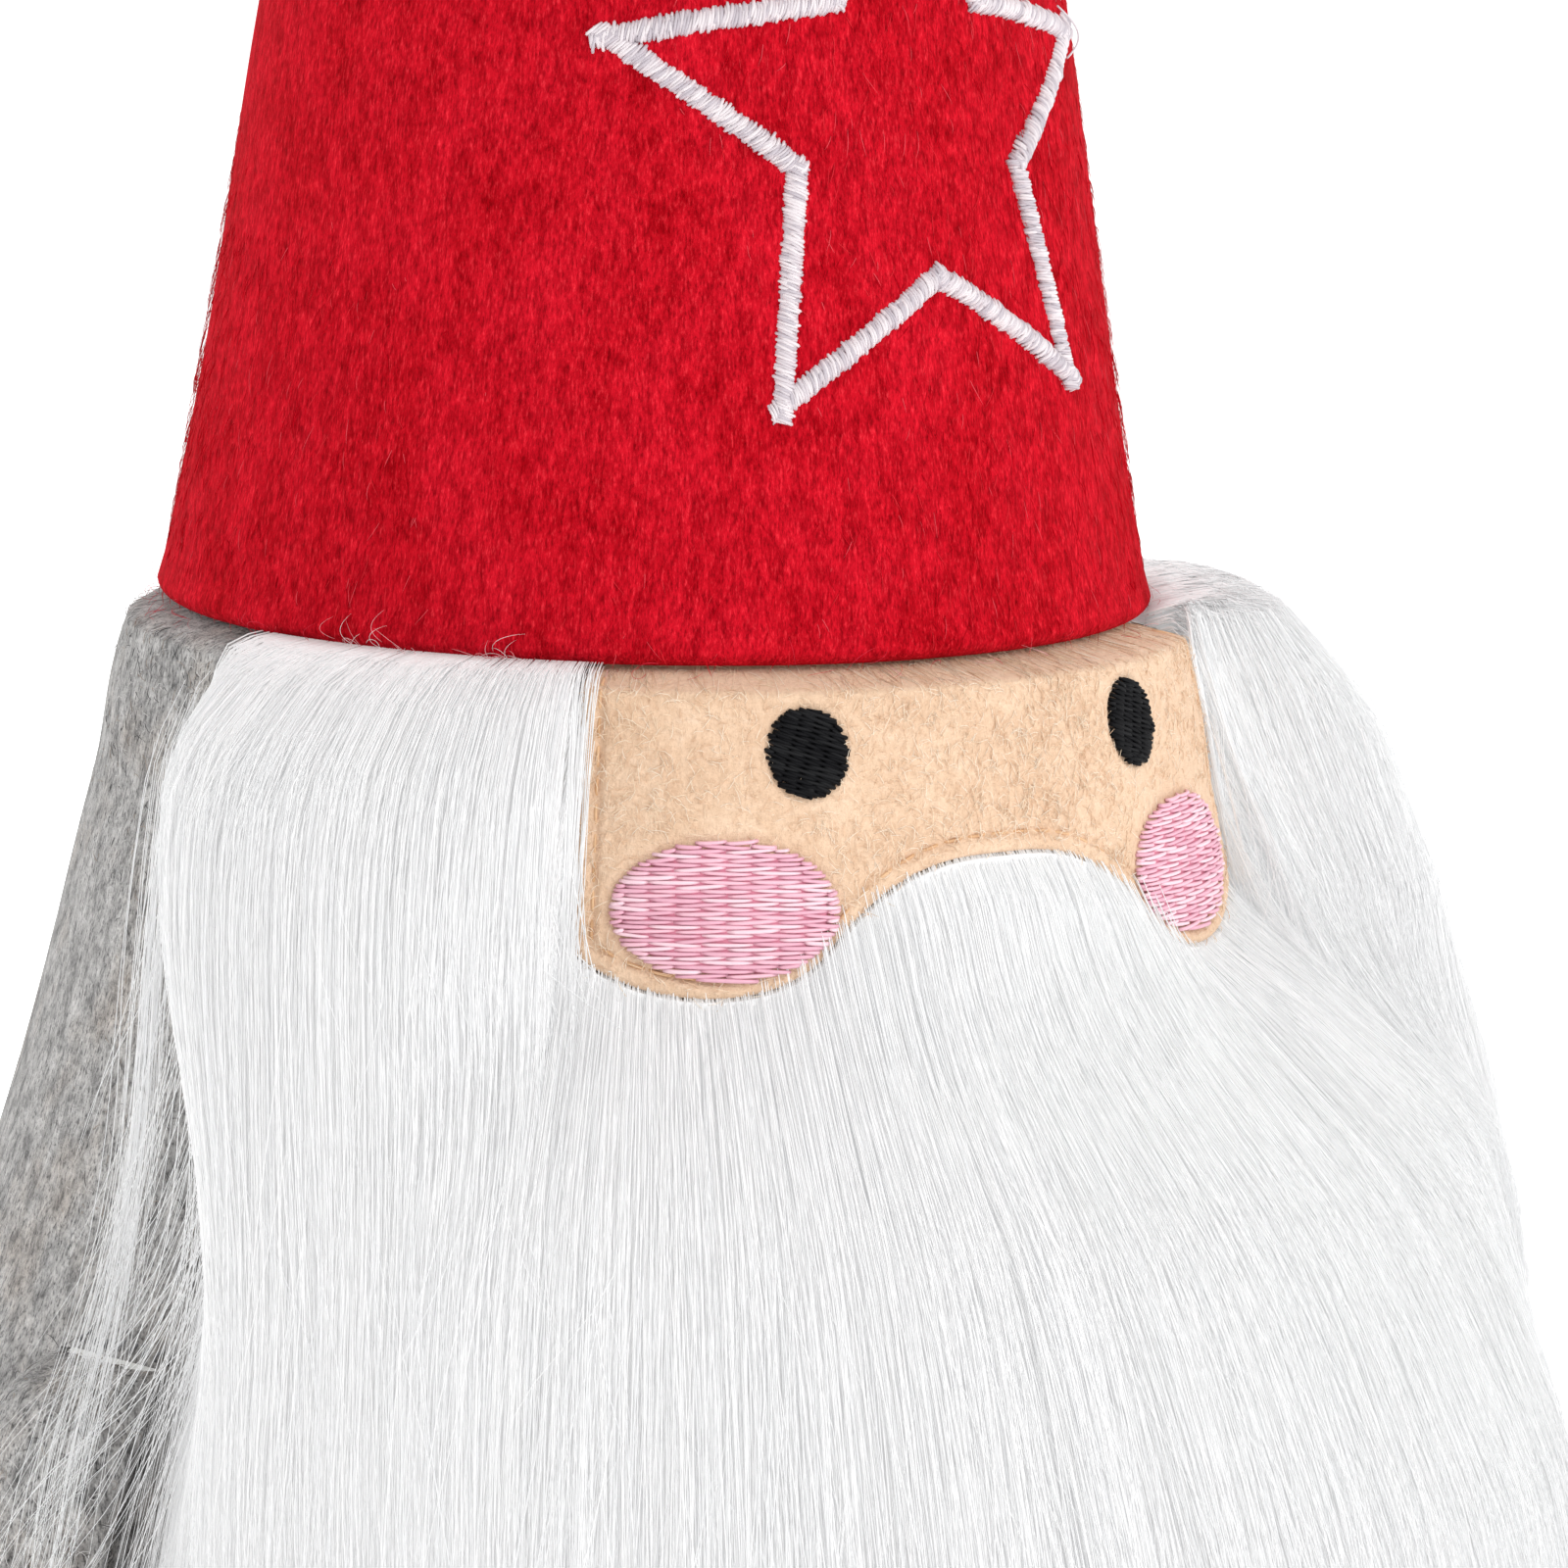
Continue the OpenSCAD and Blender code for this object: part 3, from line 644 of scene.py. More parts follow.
def hat_profile():
    """(radius, height) up the outside of the hat, from inside the turned brim to the tip."""
    low = HAT_PROFILE[0, 0]
    edge_r = hat_r(BRIM_Z)
    turned = [(edge_r - 2.1 * MM, BRIM_Z + 9 * MM), (edge_r - 2.1 * MM, BRIM_Z + 3 * MM)]
    hem = [(edge_r - HEM_R + HEM_R * math.cos(a), BRIM_Z + HEM_R + HEM_R * math.sin(a))
           for a in np.radians(np.arange(-150, 1, 12))]
    centre = HAT_APEX_Z - TIP_R / math.sin(HAT_LEAN)
    straight = [(hat_r(z), z) for z in np.linspace(low, centre, 270)]
    tip = [(TIP_R * math.cos(a), centre + TIP_R * math.sin(a))
           for a in np.linspace(HAT_LEAN, 88 * DEG, 10)]
    return np.array(turned + hem + straight + tip)


def seam_dip(azimuth, back, radius):
    """The furrow along the hat's seam, which runs down at the azimuth of its back."""
    return -0.7 * MM * np.exp(-((azimuth - back) ** 2)[None, :] * (radius / (1.1 * MM)) ** 2)


def build_hat(materials):
    """The fleece cone, from the end of its turned hem up to the tip, with soft dents."""
    cols = 300
    profile = hat_profile()
    radius = profile[:, :1]
    azimuth = np.linspace(0, 2 * math.pi, cols, endpoint=False) + math.pi
    grid = polar(azimuth[None, :], radius, profile[:, 1:])
    soft = value_noise(grid, 34 * MM, 3) * 0.55 + value_noise(grid, 13 * MM, 5, (1, 1, 1.6)) * 0.22
    seam = seam_dip(azimuth, math.pi, radius)
    seam = seam + (azimuth > 2.9 * math.pi) * seam_dip(azimuth, 3 * math.pi, radius)
    outer_rows = (profile[:, 1] > BRIM_Z + 2 * MM)[:, None]
    shift = soft * MM * np.minimum(radius / (20 * MM), 1) + np.where(outer_rows, seam, 0)
    hat = revolved("hat_fleece", grid + outward(azimuth) * shift[..., None])
    hat.data.materials.append(materials["fleece"])
    return hat


NAP_MIX = [0.3, 0.3, 0.12, 0.22, 0.06]        # shares of the five tints of nap fibre


def nap(count, seed):
    """Short nap fibres on the hat that lean downwards."""
    rng = np.random.default_rng(seed)
    share = 1 - np.sqrt(rng.random(count))
    z = BRIM_Z + 1.5 * MM + share * (HAT_APEX_Z - BRIM_Z - 14 * MM)
    azimuth = rng.uniform(-math.pi, math.pi, count)
    length = rng.uniform(1.0, 3.0, count) * MM
    steps = np.linspace(0, 1, 4)[None, :]
    tilt = rng.normal(0, 0.3, (count, 1))
    bend = rng.normal(0, 0.5, (count, 1))
    side = length[:, None] * (np.sin(tilt) * steps + 0.35 * bend * steps ** 2)
    drop = length[:, None] * np.cos(tilt) * steps
    lift = (-0.12 + rng.uniform(0.10, 0.34, (count, 1)) * np.sin(steps * 2.4)) * MM
    z_path = z[:, None] - drop
    radius = hat_r(np.maximum(z_path, BRIM_Z + 0.8 * MM)) + lift
    path = polar(azimuth[:, None] + side / radius, radius, z_path)
    radii = np.repeat(np.array([[0.6, 1, 0.85, 0.3]]) * 0.036 * MM, count, 0)
    tint = rng.choice(5, count, p=NAP_MIX)
    return path, radii * rng.uniform(0.7, 1.25, (count, 1)), outward(azimuth), tint


# ---------------------------------------------------------------- stitches
STAR_RISE = 52.2 * MM    # the star's centre above the brim
STAR_BAND = 2.25 * MM
# Tips and notches clockwise from the top, as sewn: (distance from the centre in mm, degrees).
STAR_CORNERS = [(32.5, 0.5), (14.8, 36.5), (30.0, 72), (14.4, 108), (32.5, 141.5),
                (15.2, 177), (32.0, 213), (14.5, 254.5), (33.2, 288), (14.8, 325)]
STITCH_PITCH = 0.3 * MM
THREAD_R = 0.17 * MM


def star_point(u, v):
    """Azimuth, radius and height of a point of the flat star when it is laid on the hat's cone."""
    slant0 = (HAT_APEX_Z - BRIM_Z - STAR_RISE) / math.cos(HAT_LEAN)
    slant = np.hypot(u, v - slant0)
    azimuth = np.arctan2(u, slant0 - v) / math.sin(HAT_LEAN)
    return azimuth, slant * math.sin(HAT_LEAN), HAT_APEX_Z - slant * math.cos(HAT_LEAN)


def star_corners():
    return np.array([(r * MM * math.sin(a * DEG), r * MM * math.cos(a * DEG))
                     for r, a in STAR_CORNERS])


def stitch_tubes(name, path, radius, facing, materials, rng):
    """Threads along their paths, each in one of the tints. One radius, or one for each thread."""
    radii = np.broadcast_to(radius, path.shape[:2])
    tint = rng.integers(0, len(materials), len(path))
    return tube_mesh(name, path, radii, facing, 6, tint, materials)


def between(start, end, steps):
    """Points at shares of the way from each start to its end."""
    return start[:, None, :] * (1 - steps)[None, :, None] + end[:, None, :] * steps[None, :, None]


def satin_pass(a, b, before, after, layer, rng):
    """Starts, ends and heights in mm of the stitches across one side of the star, from a to b
    and a little further at both ends."""
    length = np.linalg.norm(b - a)
    along = (b - a) / length
    across = np.array([-along[1], along[0]])
    sewn = length + before + after
    count = int(sewn / STITCH_PITCH)
    t = (np.arange(count) + 0.5 * layer) / count * sewn - before
    centre = a + along * t[:, None]
    slant = (0.34 if layer else 0.12) + rng.normal(0, 0.08, count)
    half = STAR_BAND / 2 + rng.normal(0.0, 0.15, (count, 2)) * MM
    way = across * np.cos(slant)[:, None] + along * np.sin(slant)[:, None]
    height = rng.uniform(0.5, 0.66, count) + 0.16 * layer
    return centre - way * half[:, :1], centre + way * half[:, 1:], height


def build_star(materials):
    """Satin stitches across each side of the star, in two overlapping passes."""
    rng = np.random.default_rng(11)
    corners = star_corners()
    reach = (1.6 * MM, 0.5 * MM)     # how far stitches go on past a tip, and past a notch
    passes = []
    for k in range(10):
        a = corners[k]
        b = corners[(k + 1) % 10]
        passes += [satin_pass(a, b, reach[k % 2], reach[(k + 1) % 2], layer, rng)
                   for layer in range(2)]
    start, end, height = [np.concatenate(found) for found in zip(*passes)]
    steps = np.linspace(0, 1, 7)
    flat = between(start, end, steps)
    azimuth, radius, z = star_point(flat[..., 0], flat[..., 1])
    arch = 1 - np.abs(2 * steps - 1) ** 2.6
    rise = (-0.3 + (height[:, None] + 0.3) * arch[None, :]) * MM
    path = polar(azimuth, radius + rise, z)
    radius = THREAD_R * rng.uniform(0.85, 1.15, (len(path), 1))
    return stitch_tubes("star_satin", path, radius, outward(azimuth[:, 3]),
                        materials["white_thread"], rng)


def star_loose_end(materials):
    """A loose end of the white thread at the tip where the outline was finished."""
    turn = np.linspace(-0.5, 2.6, 12)
    across = (-1.0 + 1.9 * np.sin(turn)) * MM
    up = (-1.6 + 4.4 * turn / 2.6) * MM
    tip_u, tip_v = star_corners()[2]
    azimuth, radius, z = star_point(tip_u + across, tip_v - up)
    lift = (0.3 + 1.3 * np.sin(np.linspace(0, math.pi, 12))) * MM
    path = polar(azimuth, radius + lift, z)[None]
    radii = np.full(path.shape[:2], 0.11 * MM)
    return tube_mesh("star_loose_end", path, radii, outward(azimuth[6:7]), 6, np.array([0]),
                     materials["white_thread"])


def mitre(before, corner, after):
    """The direction across the star's band at a corner, longer where the corner is sharper."""
    way_in = unit(corner - before)
    way_out = unit(after - corner)
    across = unit(np.array([-way_in[1] - way_out[1], way_in[0] + way_out[0]]))
    return across / max(np.dot(across, np.array([-way_out[1], way_out[0]])), 0.45)


def build_star_bed(materials):
    """The padding stitches under the satin: a low band along the star's outline."""
    corners = star_corners()
    mitres = [mitre(corners[k - 1], corners[k], corners[(k + 1) % 10]) for k in range(10)]
    steps = 14
    across = np.linspace(-1, 1, 7)
    sections = []
    for k in range(10):
        after = (k + 1) % 10
        for t in np.arange(steps) / steps:
            centre = corners[k] * (1 - t) + corners[after] * t
            way = mitres[k] * (1 - t) + mitres[after] * t
            sections.append(centre + across[:, None] * way * (STAR_BAND / 2 - 0.15 * MM))
    flat = np.array(sections)
    azimuth, radius, z = star_point(flat[..., 0], flat[..., 1])
    crown = (0.25 + 0.25 * (1 - across ** 2))[None, :] * MM
    outer = polar(azimuth, radius + crown, z)
    inner = polar(azimuth, radius - 0.2 * MM, z)
    ring = np.concatenate([outer, inner[:, ::-1]], 1)
    rows, cols = ring.shape[:2]
    col = np.arange(cols)
    nxt = (col + 1) % cols
    last = (rows - 1) * cols
    join = np.stack([last + col, last + nxt, nxt, col], -1)
    quads = np.concatenate([grid_quads(rows, cols, True), join])
    bed = mesh_from_faces("star_padding", ring.reshape(-1, 3), quads)
    bed.data.materials.append(materials["white_thread"][1])
    return bed


# ---------------------------------------------------------------- face
FACE_HALF = 43.5 * DEG
FACE_T = 1.5 * MM
CHEEK_AZ = 29.1 * DEG
CHEEK_DROP = 22.4 * MM
CHEEK_W = 21.7 * MM
CHEEK_H = 13.5 * MM
EYE_AZ = 20.9 * DEG
EYE_DROP = 7.5 * MM
EYE_W = 7.5 * MM
EYE_H = 8.4 * MM
LOBE_X = 29.5 * MM       # the lobe under a cheek: its middle, its half width and its depth
LOBE_RX = 12 * MM
LOBE_RZ = 8.5 * MM
LOBE_END = 325 * DEG     # where the lobe's curve passes into the arch
ARCH_DROP = 18.3 * MM
ARCH_POWER = 2.8
FOOT_X = LOBE_X - LOBE_RX * math.cos(LOBE_END)
FOOT_DROP = CHEEK_DROP - LOBE_RZ * math.sin(LOBE_END)
TUCK = 5 * MM            # how far the face felt goes up under the hat
GROOVE_AT = 2.0 * MM     # distance of the topstitch from the edge


def lower_edge(azimuth, inset=0.0):
    """Distance of the face patch's lower edge below the brim: a lobe under each cheek, with an
    arch between them."""
    x = np.abs(body_r(BRIM_Z - CHEEK_DROP) * np.sin(azimuth))
    share = np.clip((x - LOBE_X) / (LOBE_RX - inset), -0.999, 0.985)
    lobe = CHEEK_DROP + (LOBE_RZ - inset) * np.sqrt(1 - share ** 2)
    foot = FOOT_DROP - inset
    arch = ARCH_DROP - inset + (foot - ARCH_DROP + inset) * np.abs(x / FOOT_X) ** ARCH_POWER
    return np.where(x < FOOT_X, arch, lobe)


def on_face(azimuth, drop, lift):
    """A point over the face felt."""
    z = BRIM_Z - drop
    return polar(azimuth, body_r(z) + lift, z)


def face_distance(azimuth, drop):
    """Rough distance from the patch's side or lower edge, in metres."""
    side = (FACE_HALF - np.abs(azimuth)) * body_r(BRIM_Z - drop)
    step = 1 * DEG
    slope = (lower_edge(azimuth + step) - lower_edge(azimuth - step)) / (2 * step * 60 * MM)
    below = (lower_edge(azimuth) - drop) / np.sqrt(1 + np.minimum(slope ** 2, 9))
    return np.minimum(side, below)


def rings_round_ovals(azimuth, drop):
    """How far out a point is from the middle of each eye and cheek: 1 is on the oval's outline."""
    found = []
    for sign in (-1, 1):
        for oval_az, oval_drop, width, height in ((EYE_AZ, EYE_DROP, EYE_W, EYE_H),
                                                  (CHEEK_AZ, CHEEK_DROP, CHEEK_W, CHEEK_H)):
            across = (azimuth - sign * oval_az) * body_r(BRIM_Z - oval_drop) / (width / 2)
            found.append(np.hypot(across, (drop - oval_drop) / (height / 2)))
    return np.array(found)


def build_face(materials):
    """The face felt: rounded at its edge, drawn in along the topstitch and round each oval."""
    rows = 110
    cols = 330
    along = np.linspace(-1, 1, cols)
    azimuth = FACE_HALF * (0.55 * along + 0.45 * np.sin(along * math.pi / 2))
    share = 1 - (1 - np.linspace(0, 1, rows)[:, None]) ** 1.4
    low = lower_edge(azimuth)[None, :]
    drop = -TUCK + (low + TUCK) * share
    az = np.broadcast_to(azimuth[None, :], drop.shape)
    inside = np.maximum(face_distance(az, drop), 0)
    rounding = 1.1 * MM
    rim = np.sqrt(np.clip(1 - (1 - np.minimum(inside, rounding) / rounding) ** 2, 0, 1))
    groove = np.exp(-((inside - GROOVE_AT) / (0.38 * MM)) ** 2)
    under_hat = ease((drop + 1 * MM) / (4 * MM))
    points = on_face(az, drop, 0)
    puff = (value_noise(points, 9 * MM, 21) * 0.12 + value_noise(points, 2.2 * MM, 22) * 0.05) * MM
    pinch = np.exp(-((rings_round_ovals(az, drop) - 1.02) / 0.07) ** 2).sum(0)
    lift = 0.1 * MM + FACE_T * (0.35 + 0.65 * rim) * (0.62 + 0.38 * under_hat)
    lift = lift + under_hat * (puff - 0.34 * MM * groove - 0.22 * MM * pinch)
    outer = on_face(az, drop, np.maximum(lift, 0.12 * MM))
    inner = on_face(az, drop, 0.05 * MM)
    face = sheet_solid("face_felt", outer, inner)
    face.data.materials.append(materials["face"])
    return face


def fill_rows(half_w, half_h, pitch, stitch, angle, rng, wobble):
    """Start and end of each stitch of a filled oval, row by row, about its centre, in mm. The
    rows lean by an angle and the oval stays upright."""
    way = np.array([math.cos(angle), math.sin(angle)])
    square = np.array([-way[1], way[0]])
    size = np.array([half_w, half_h])
    a = np.sum((way / size) ** 2)
    limit = math.hypot(half_w * square[0], half_h * square[1])
    starts = []
    ends = []
    for j, y in enumerate(np.arange(-limit + 0.6 * pitch, limit, pitch)):
        b = y * np.sum(way * square / size ** 2)
        c = y * y * np.sum((square / size) ** 2) - 1
        root = math.sqrt(max(b * b - a * c, 0.0004 * a))
        left = (-b - root) / a - rng.uniform(-0.1, wobble)
        right = (-b + root) / a + rng.uniform(-0.1, wobble)
        holes = np.arange(-6, 7) * stitch + (0.5 * stitch if j % 2 else 0)
        holes = holes[(holes > left + 0.5) & (holes < right - 0.5)] + rng.normal(0, 0.07)
        points = np.concatenate([[left], holes, [right]])
        for from_t, to_t in zip(points[:-1], points[1:]):
            lean = rng.normal(0, 0.05) + (0.07 if j % 2 else -0.07)
            starts.append(way * (from_t - 0.05) + square * (y - lean))
            ends.append(way * (to_t + 0.05) + square * (y + lean))
    return np.array(starts), np.array(ends)


def filled_oval(name, az0, drop0, width, height, pitch, stitch, thread_r, angle, wobble, drip,
                seed, materials):
    """Embroidered fill: threads laid side by side over the face felt. A drip is a few more
    stitches over the oval's lower end. Pitch, stitch and wobble are in mm."""
    rng = np.random.default_rng(seed)
    start, end = fill_rows(width / 2 / MM, height / 2 / MM, pitch, stitch, angle, rng, wobble)
    if drip:
        low = height / 2 / MM
        start = np.concatenate([start, [(-0.6 + 0.12 * k, low - 1 + 0.2 * k) for k in range(6)]])
        end = np.concatenate([end, [(0.7 - 0.12 * k, low - 1 + 0.2 * k) for k in range(6)]])
    steps = np.linspace(0, 1, 7)
    flat = between(start, end, steps)
    drop = drop0 + flat[..., 1] * MM
    azimuth = az0 + flat[..., 0] * MM / body_r(BRIM_Z - drop0)
    arch = 1 - np.abs(2 * steps - 1) ** 4
    high = FACE_T + (0.05 + (0.42 + rng.normal(0, 0.05, (len(flat), 1))) * arch[None, :]) * MM
    path = on_face(azimuth, drop, high)
    radius = thread_r * rng.uniform(0.88, 1.12, (len(path), 1))
    return stitch_tubes(name, path, radius, outward(np.full(len(path), az0)), materials, rng)


def oval_bed(name, az0, drop0, width, height, material):
    """The dark ground that shows at the needle holes of a filled oval, in the given material: black
    like the thread under the eyes, and under the cheeks a darker pink that is painted shade in the
    holes.
    """
    angle = np.linspace(0, 2 * math.pi, 60, endpoint=False)
    rings = np.linspace(1, 0.02, 10)[:, None]
    azimuth = az0 + rings * np.cos(angle) * (width / 2) / body_r(BRIM_Z - drop0)
    drop = drop0 + rings * np.sin(angle) * (height / 2)
    lift = FACE_T + (0.26 - 0.6 * (rings > 0.99)) * MM + 0 * angle
    obj = revolved(name, on_face(azimuth, drop, lift)[:, ::-1])
    obj.data.materials.append(material)
    return obj


def running_stitches(name, path, facing, length, gap, radius, lift, materials, seed=5):
    """A line of stitches along a path of points, each one dipping into the cloth at its ends."""
    rng = np.random.default_rng(seed)
    step = np.linalg.norm(np.diff(path, axis=0), axis=1)
    run = np.concatenate([[0], np.cumsum(step)])
    begin = np.arange(0.3 * gap, run[-1] - length, length + gap)
    t = begin[:, None] + np.linspace(0, 1, 7)[None, :] * length
    points = np.stack([np.interp(t, run, path[:, i]) for i in range(3)], -1)
    ways = unit(np.stack([np.interp(t, run, facing[:, i]) for i in range(3)], -1))
    arch = 1 - np.abs(np.linspace(-1, 1, 7)) ** 3
    points = points + ways * (-radius + (lift + radius) * arch)[None, :, None]
    return stitch_tubes(name, points, radius, ways[:, 3], materials, rng)


def build_topstitch(materials):
    """The thread run inside the edge of the face felt, down one side, round below and up."""
    inset = GROOVE_AT
    half = FACE_HALF - inset / (60 * MM)
    side = np.linspace(1.0 * MM, CHEEK_DROP - 2 * MM, 40)
    low_az = np.linspace(-half, half, 400)
    azimuth = np.concatenate([np.full(40, -half), low_az, np.full(40, half)])
    drop = np.concatenate([side, lower_edge(low_az, inset), side[::-1]])
    path = on_face(azimuth, drop, FACE_T - 0.35 * MM)
    return running_stitches("face_stitching", path, outward(azimuth), 2.3 * MM, 0.5 * MM,
                            0.17 * MM, 0.22 * MM, materials["face_thread"])


FELT_MIX = [0.14, 0.30, 0.34, 0.08, 0.14]     # shares of the five tints of felt fibre


def fibre_heading(rng, count):
    """Directions of fibres, mostly upright, in either sense."""
    heading = rng.normal(0, 0.62, (count, 1)) + math.pi / 2
    return np.where(rng.random((count, 1)) < 0.2, rng.uniform(0, 2 * math.pi, (count, 1)), heading)


def felt_fuzz(azimuth, z, surface_r, length, lift, width, seed, tint_count, upright=0.0):
    """Loose fibres that lie on felt in all directions, a little curled."""
    rng = np.random.default_rng(seed)
    count = len(azimuth)
    steps = np.linspace(0, 1, 4)[None, :]
    heading = fibre_heading(rng, count)
    curl = rng.normal(0, 1.4, (count, 1))
    size = length * rng.uniform(0.5, 1.3, (count, 1))
    way = heading + curl * steps
    side = np.cumsum(np.cos(way), 1) * size / 4
    rise = np.cumsum(np.sin(way), 1) * size / 4
    z_path = z[:, None] + rise
    height = lift * rng.uniform(0.2, 1.0, (count, 1)) * np.sin(steps * 2.7) - 0.1 * MM
    height = height + upright * rng.random((count, 1)) ** 3 * steps * size
    radius = surface_r(z_path) + height
    path = polar(azimuth[:, None] + side / np.maximum(radius, 5 * MM), radius, z_path)
    radii = np.repeat(np.array([[0.6, 1, 0.9, 0.3]]) * width, count, 0)
    share = FELT_MIX if tint_count == len(FELT_MIX) else None
    return path, radii, outward(azimuth), rng.choice(tint_count, count, p=share)


def face_surface(z):
    return body_r(z) + FACE_T + 0.05 * MM


def build_face_fuzz(materials):
    """Loose fibres on the face felt, clear of the embroidery."""
    rng = np.random.default_rng(31)
    count = 5200
    azimuth = rng.uniform(-FACE_HALF, FACE_HALF, count) * 0.985
    drop = rng.random(count) * (lower_edge(azimuth) - 1 * MM) + 0.8 * MM
    keep = rings_round_ovals(azimuth, drop).min(0) > 1.12
    strands = felt_fuzz(azimuth[keep], BRIM_Z - drop[keep], face_surface, 2.6 * MM, 0.5 * MM,
                        0.035 * MM, 32, 3)
    return strand_pieces("face_fuzz", *strands, materials["face_fibres"])


# ---------------------------------------------------------------- body
BASE_R = 73.4 * MM


def build_body(materials):
    """The felt cover: the CAD profile with soft dents, gathered a little at the base seam."""
    cols = 300
    low = [(0.2 * MM, 1.6 * MM), (BASE_R - 1 * MM, 1.6 * MM), (BASE_R + 0.2 * MM, 0.5 * MM),
           (BASE_R + 1.6 * MM, 0.1 * MM)]
    heights = np.linspace(0.9 * MM, BODY_TOP_Z - 1 * MM, 210)
    profile = np.array(low + [(body_r(z), z) for z in heights] + [(1 * MM, BODY_TOP_Z)])
    azimuth = np.linspace(-math.pi, math.pi, cols, endpoint=False)
    z = profile[:, 1:]
    grid = polar(azimuth[None, :], profile[:, :1], z)
    free = ease((z - 3 * MM) / (12 * MM)) * (1 - ease((z - (BRIM_Z - 6 * MM)) / (6 * MM)))
    in_front = 1 - ease((np.abs(azimuth)[None, :] - 88 * DEG) / (12 * DEG))
    in_front = in_front * ease((z - 108 * MM) / (14 * MM))     # where the beard lies on the body
    dents = value_noise(grid, 42 * MM, 7) * 0.9 + value_noise(grid, 15 * MM, 8) * 0.3
    gather = 0.25 * np.sin(azimuth * 64)[None, :] * np.exp(-((z - 5 * MM) / (5 * MM)) ** 2)
    seam = -0.8 * np.exp(-((math.pi - np.abs(azimuth)) * 80)[None, :] ** 2) * free
    shift = (dents * free * (1 - in_front) + gather + seam) * MM
    body = revolved("body_felt", grid + outward(azimuth) * shift[..., None])
    body.data.materials.append(materials["grey"])
    return body


def build_base(materials):
    """The felt disc under the body, drawn in at its sewn edge."""
    radii = np.concatenate([np.linspace(0.5 * MM, BASE_R - 3 * MM, 40),
                            np.linspace(BASE_R - 2.6 * MM, BASE_R - 0.3 * MM, 8)])
    azimuth = np.linspace(-math.pi, math.pi, 240, endpoint=False)[None, :]
    tuck = ease((radii - (BASE_R - 3.2 * MM)) / (3 * MM))[:, None]
    low = polar(azimuth, radii[:, None], (0.75 * MM) * tuck ** 2 * (1 + 0.2 * np.sin(azimuth * 60)))
    high = polar(azimuth, radii[::-1][:, None], 1.45 * MM + 0 * azimuth)
    base = revolved("base_felt", np.concatenate([low, high])[:, ::-1])
    base.data.materials.append(materials["grey"])
    return base


def build_body_fuzz(materials):
    """Loose fibres on the body felt, but for what the beard covers."""
    rng = np.random.default_rng(41)
    count = 34000
    z = rng.uniform(2 * MM, BRIM_Z - 0.5 * MM, count)
    azimuth = rng.uniform(-math.pi, math.pi, count)
    bare = (np.abs(azimuth) >= 70 * DEG) | (z <= 62 * MM)
    strands = felt_fuzz(azimuth[bare], z[bare], body_r, 2.2 * MM, 0.4 * MM, 0.042 * MM, 42, 5, 0.2)
    return strand_pieces("body_fuzz", *strands, materials["grey_fibres"])


# ---------------------------------------------------------------- beard
BEARD_HALF_TOP = 85 * DEG
BEARD_HALF_LOW = 72 * DEG
BACKING_DROP = 62 * MM
BEARD_LEN = 136 * MM
BEARD_SIDE_RISE = 26 * MM
FACE_SIDE = FACE_HALF + 0.6 * DEG
COAT_SCALE = 0.94        # the locks' depth against the CAD pile's
LOCK_RIDGE = 1.0 * MM    # how far broad locks stand off their gaps
PARTING_AZ = -66 * DEG
PARTING_FROM = 54 * MM   # below the brim
PARTING_TO = 96 * MM
PARTING_HALF = 1.3 * DEG
FUR_MIX = [0.35, 0.3, 0.25, 0.10]             # shares of the four tints of white hair


def beard_half(drop):
    return BEARD_HALF_TOP + (BEARD_HALF_LOW - BEARD_HALF_TOP) * ease(drop / BACKING_DROP)


def column_az(column, drop):
    """Where a column of pile that starts at an azimuth under the brim hangs further down."""
    beyond = (np.abs(column) - FACE_SIDE) / (BEARD_HALF_TOP - FACE_SIDE)
    moved = np.sign(column) * (FACE_SIDE + beyond * (beard_half(drop) - FACE_SIDE))
    return np.where(np.abs(column) <= FACE_SIDE, column, moved)


def beard_end(column):
    return BEARD_LEN - BEARD_SIDE_RISE * (np.minimum(np.abs(column), 72 * DEG) / (60 * DEG)) ** 2


def beard_start(column):
    return np.where(np.abs(column) < FACE_SIDE, lower_edge(column) - 0.3 * MM, -0.4 * MM)


def unrolled(azimuth, z):
    """Places on the beard, rolled out flat, to read noise at."""
    return np.stack(np.broadcast_arrays(azimuth * 80 * MM, 0 * azimuth, z), -1)


def coat_thickness(azimuth, z):
    """Depth of the pile. Beside the face it is read further out, so that the pile stands up at
    the edge of the face felt, but on the object's left it slopes up from there. It thins out
    towards its rear edge, and is fluffed up under the brim, most of all on the object's left."""
    drop = BRIM_Z - z
    beyond = np.abs(azimuth) - FACE_SIDE
    high = 1 - ease((drop - 22 * MM) / (26 * MM))
    shift = 9 * DEG * (1 - ease(beyond / (20 * DEG))) * (beyond > 0) * high
    rear = ease((beard_half(drop) + 5 * DEG - np.abs(azimuth)) / (13 * DEG))
    fluff = np.where(azimuth > 0, 7.5 * MM, 1.5 * MM) * ease(beyond / (9 * DEG))
    fluff = fluff * np.exp(-np.maximum(drop, 0) / np.where(azimuth > 0, 13 * MM, 7 * MM))
    ridge = value_noise(unrolled(azimuth, z), 4.6 * MM, 64, (1, 1, 11))
    ridge = ridge * ease((drop - 14 * MM) / (20 * MM))
    depth = COAT_SCALE * pile_thickness(azimuth + np.sign(azimuth) * shift, z)
    beside = (azimuth > 0) * (beyond > -1 * DEG) * (1 - ease((drop - 8 * MM) / (50 * MM)))
    depth = depth * (1 - 0.8 * beside * (1 - ease((beyond + 1 * DEG) / (13 * DEG))))
    return (depth + fluff + ridge * LOCK_RIDGE * np.minimum(depth / (8 * MM), 1)) * rear


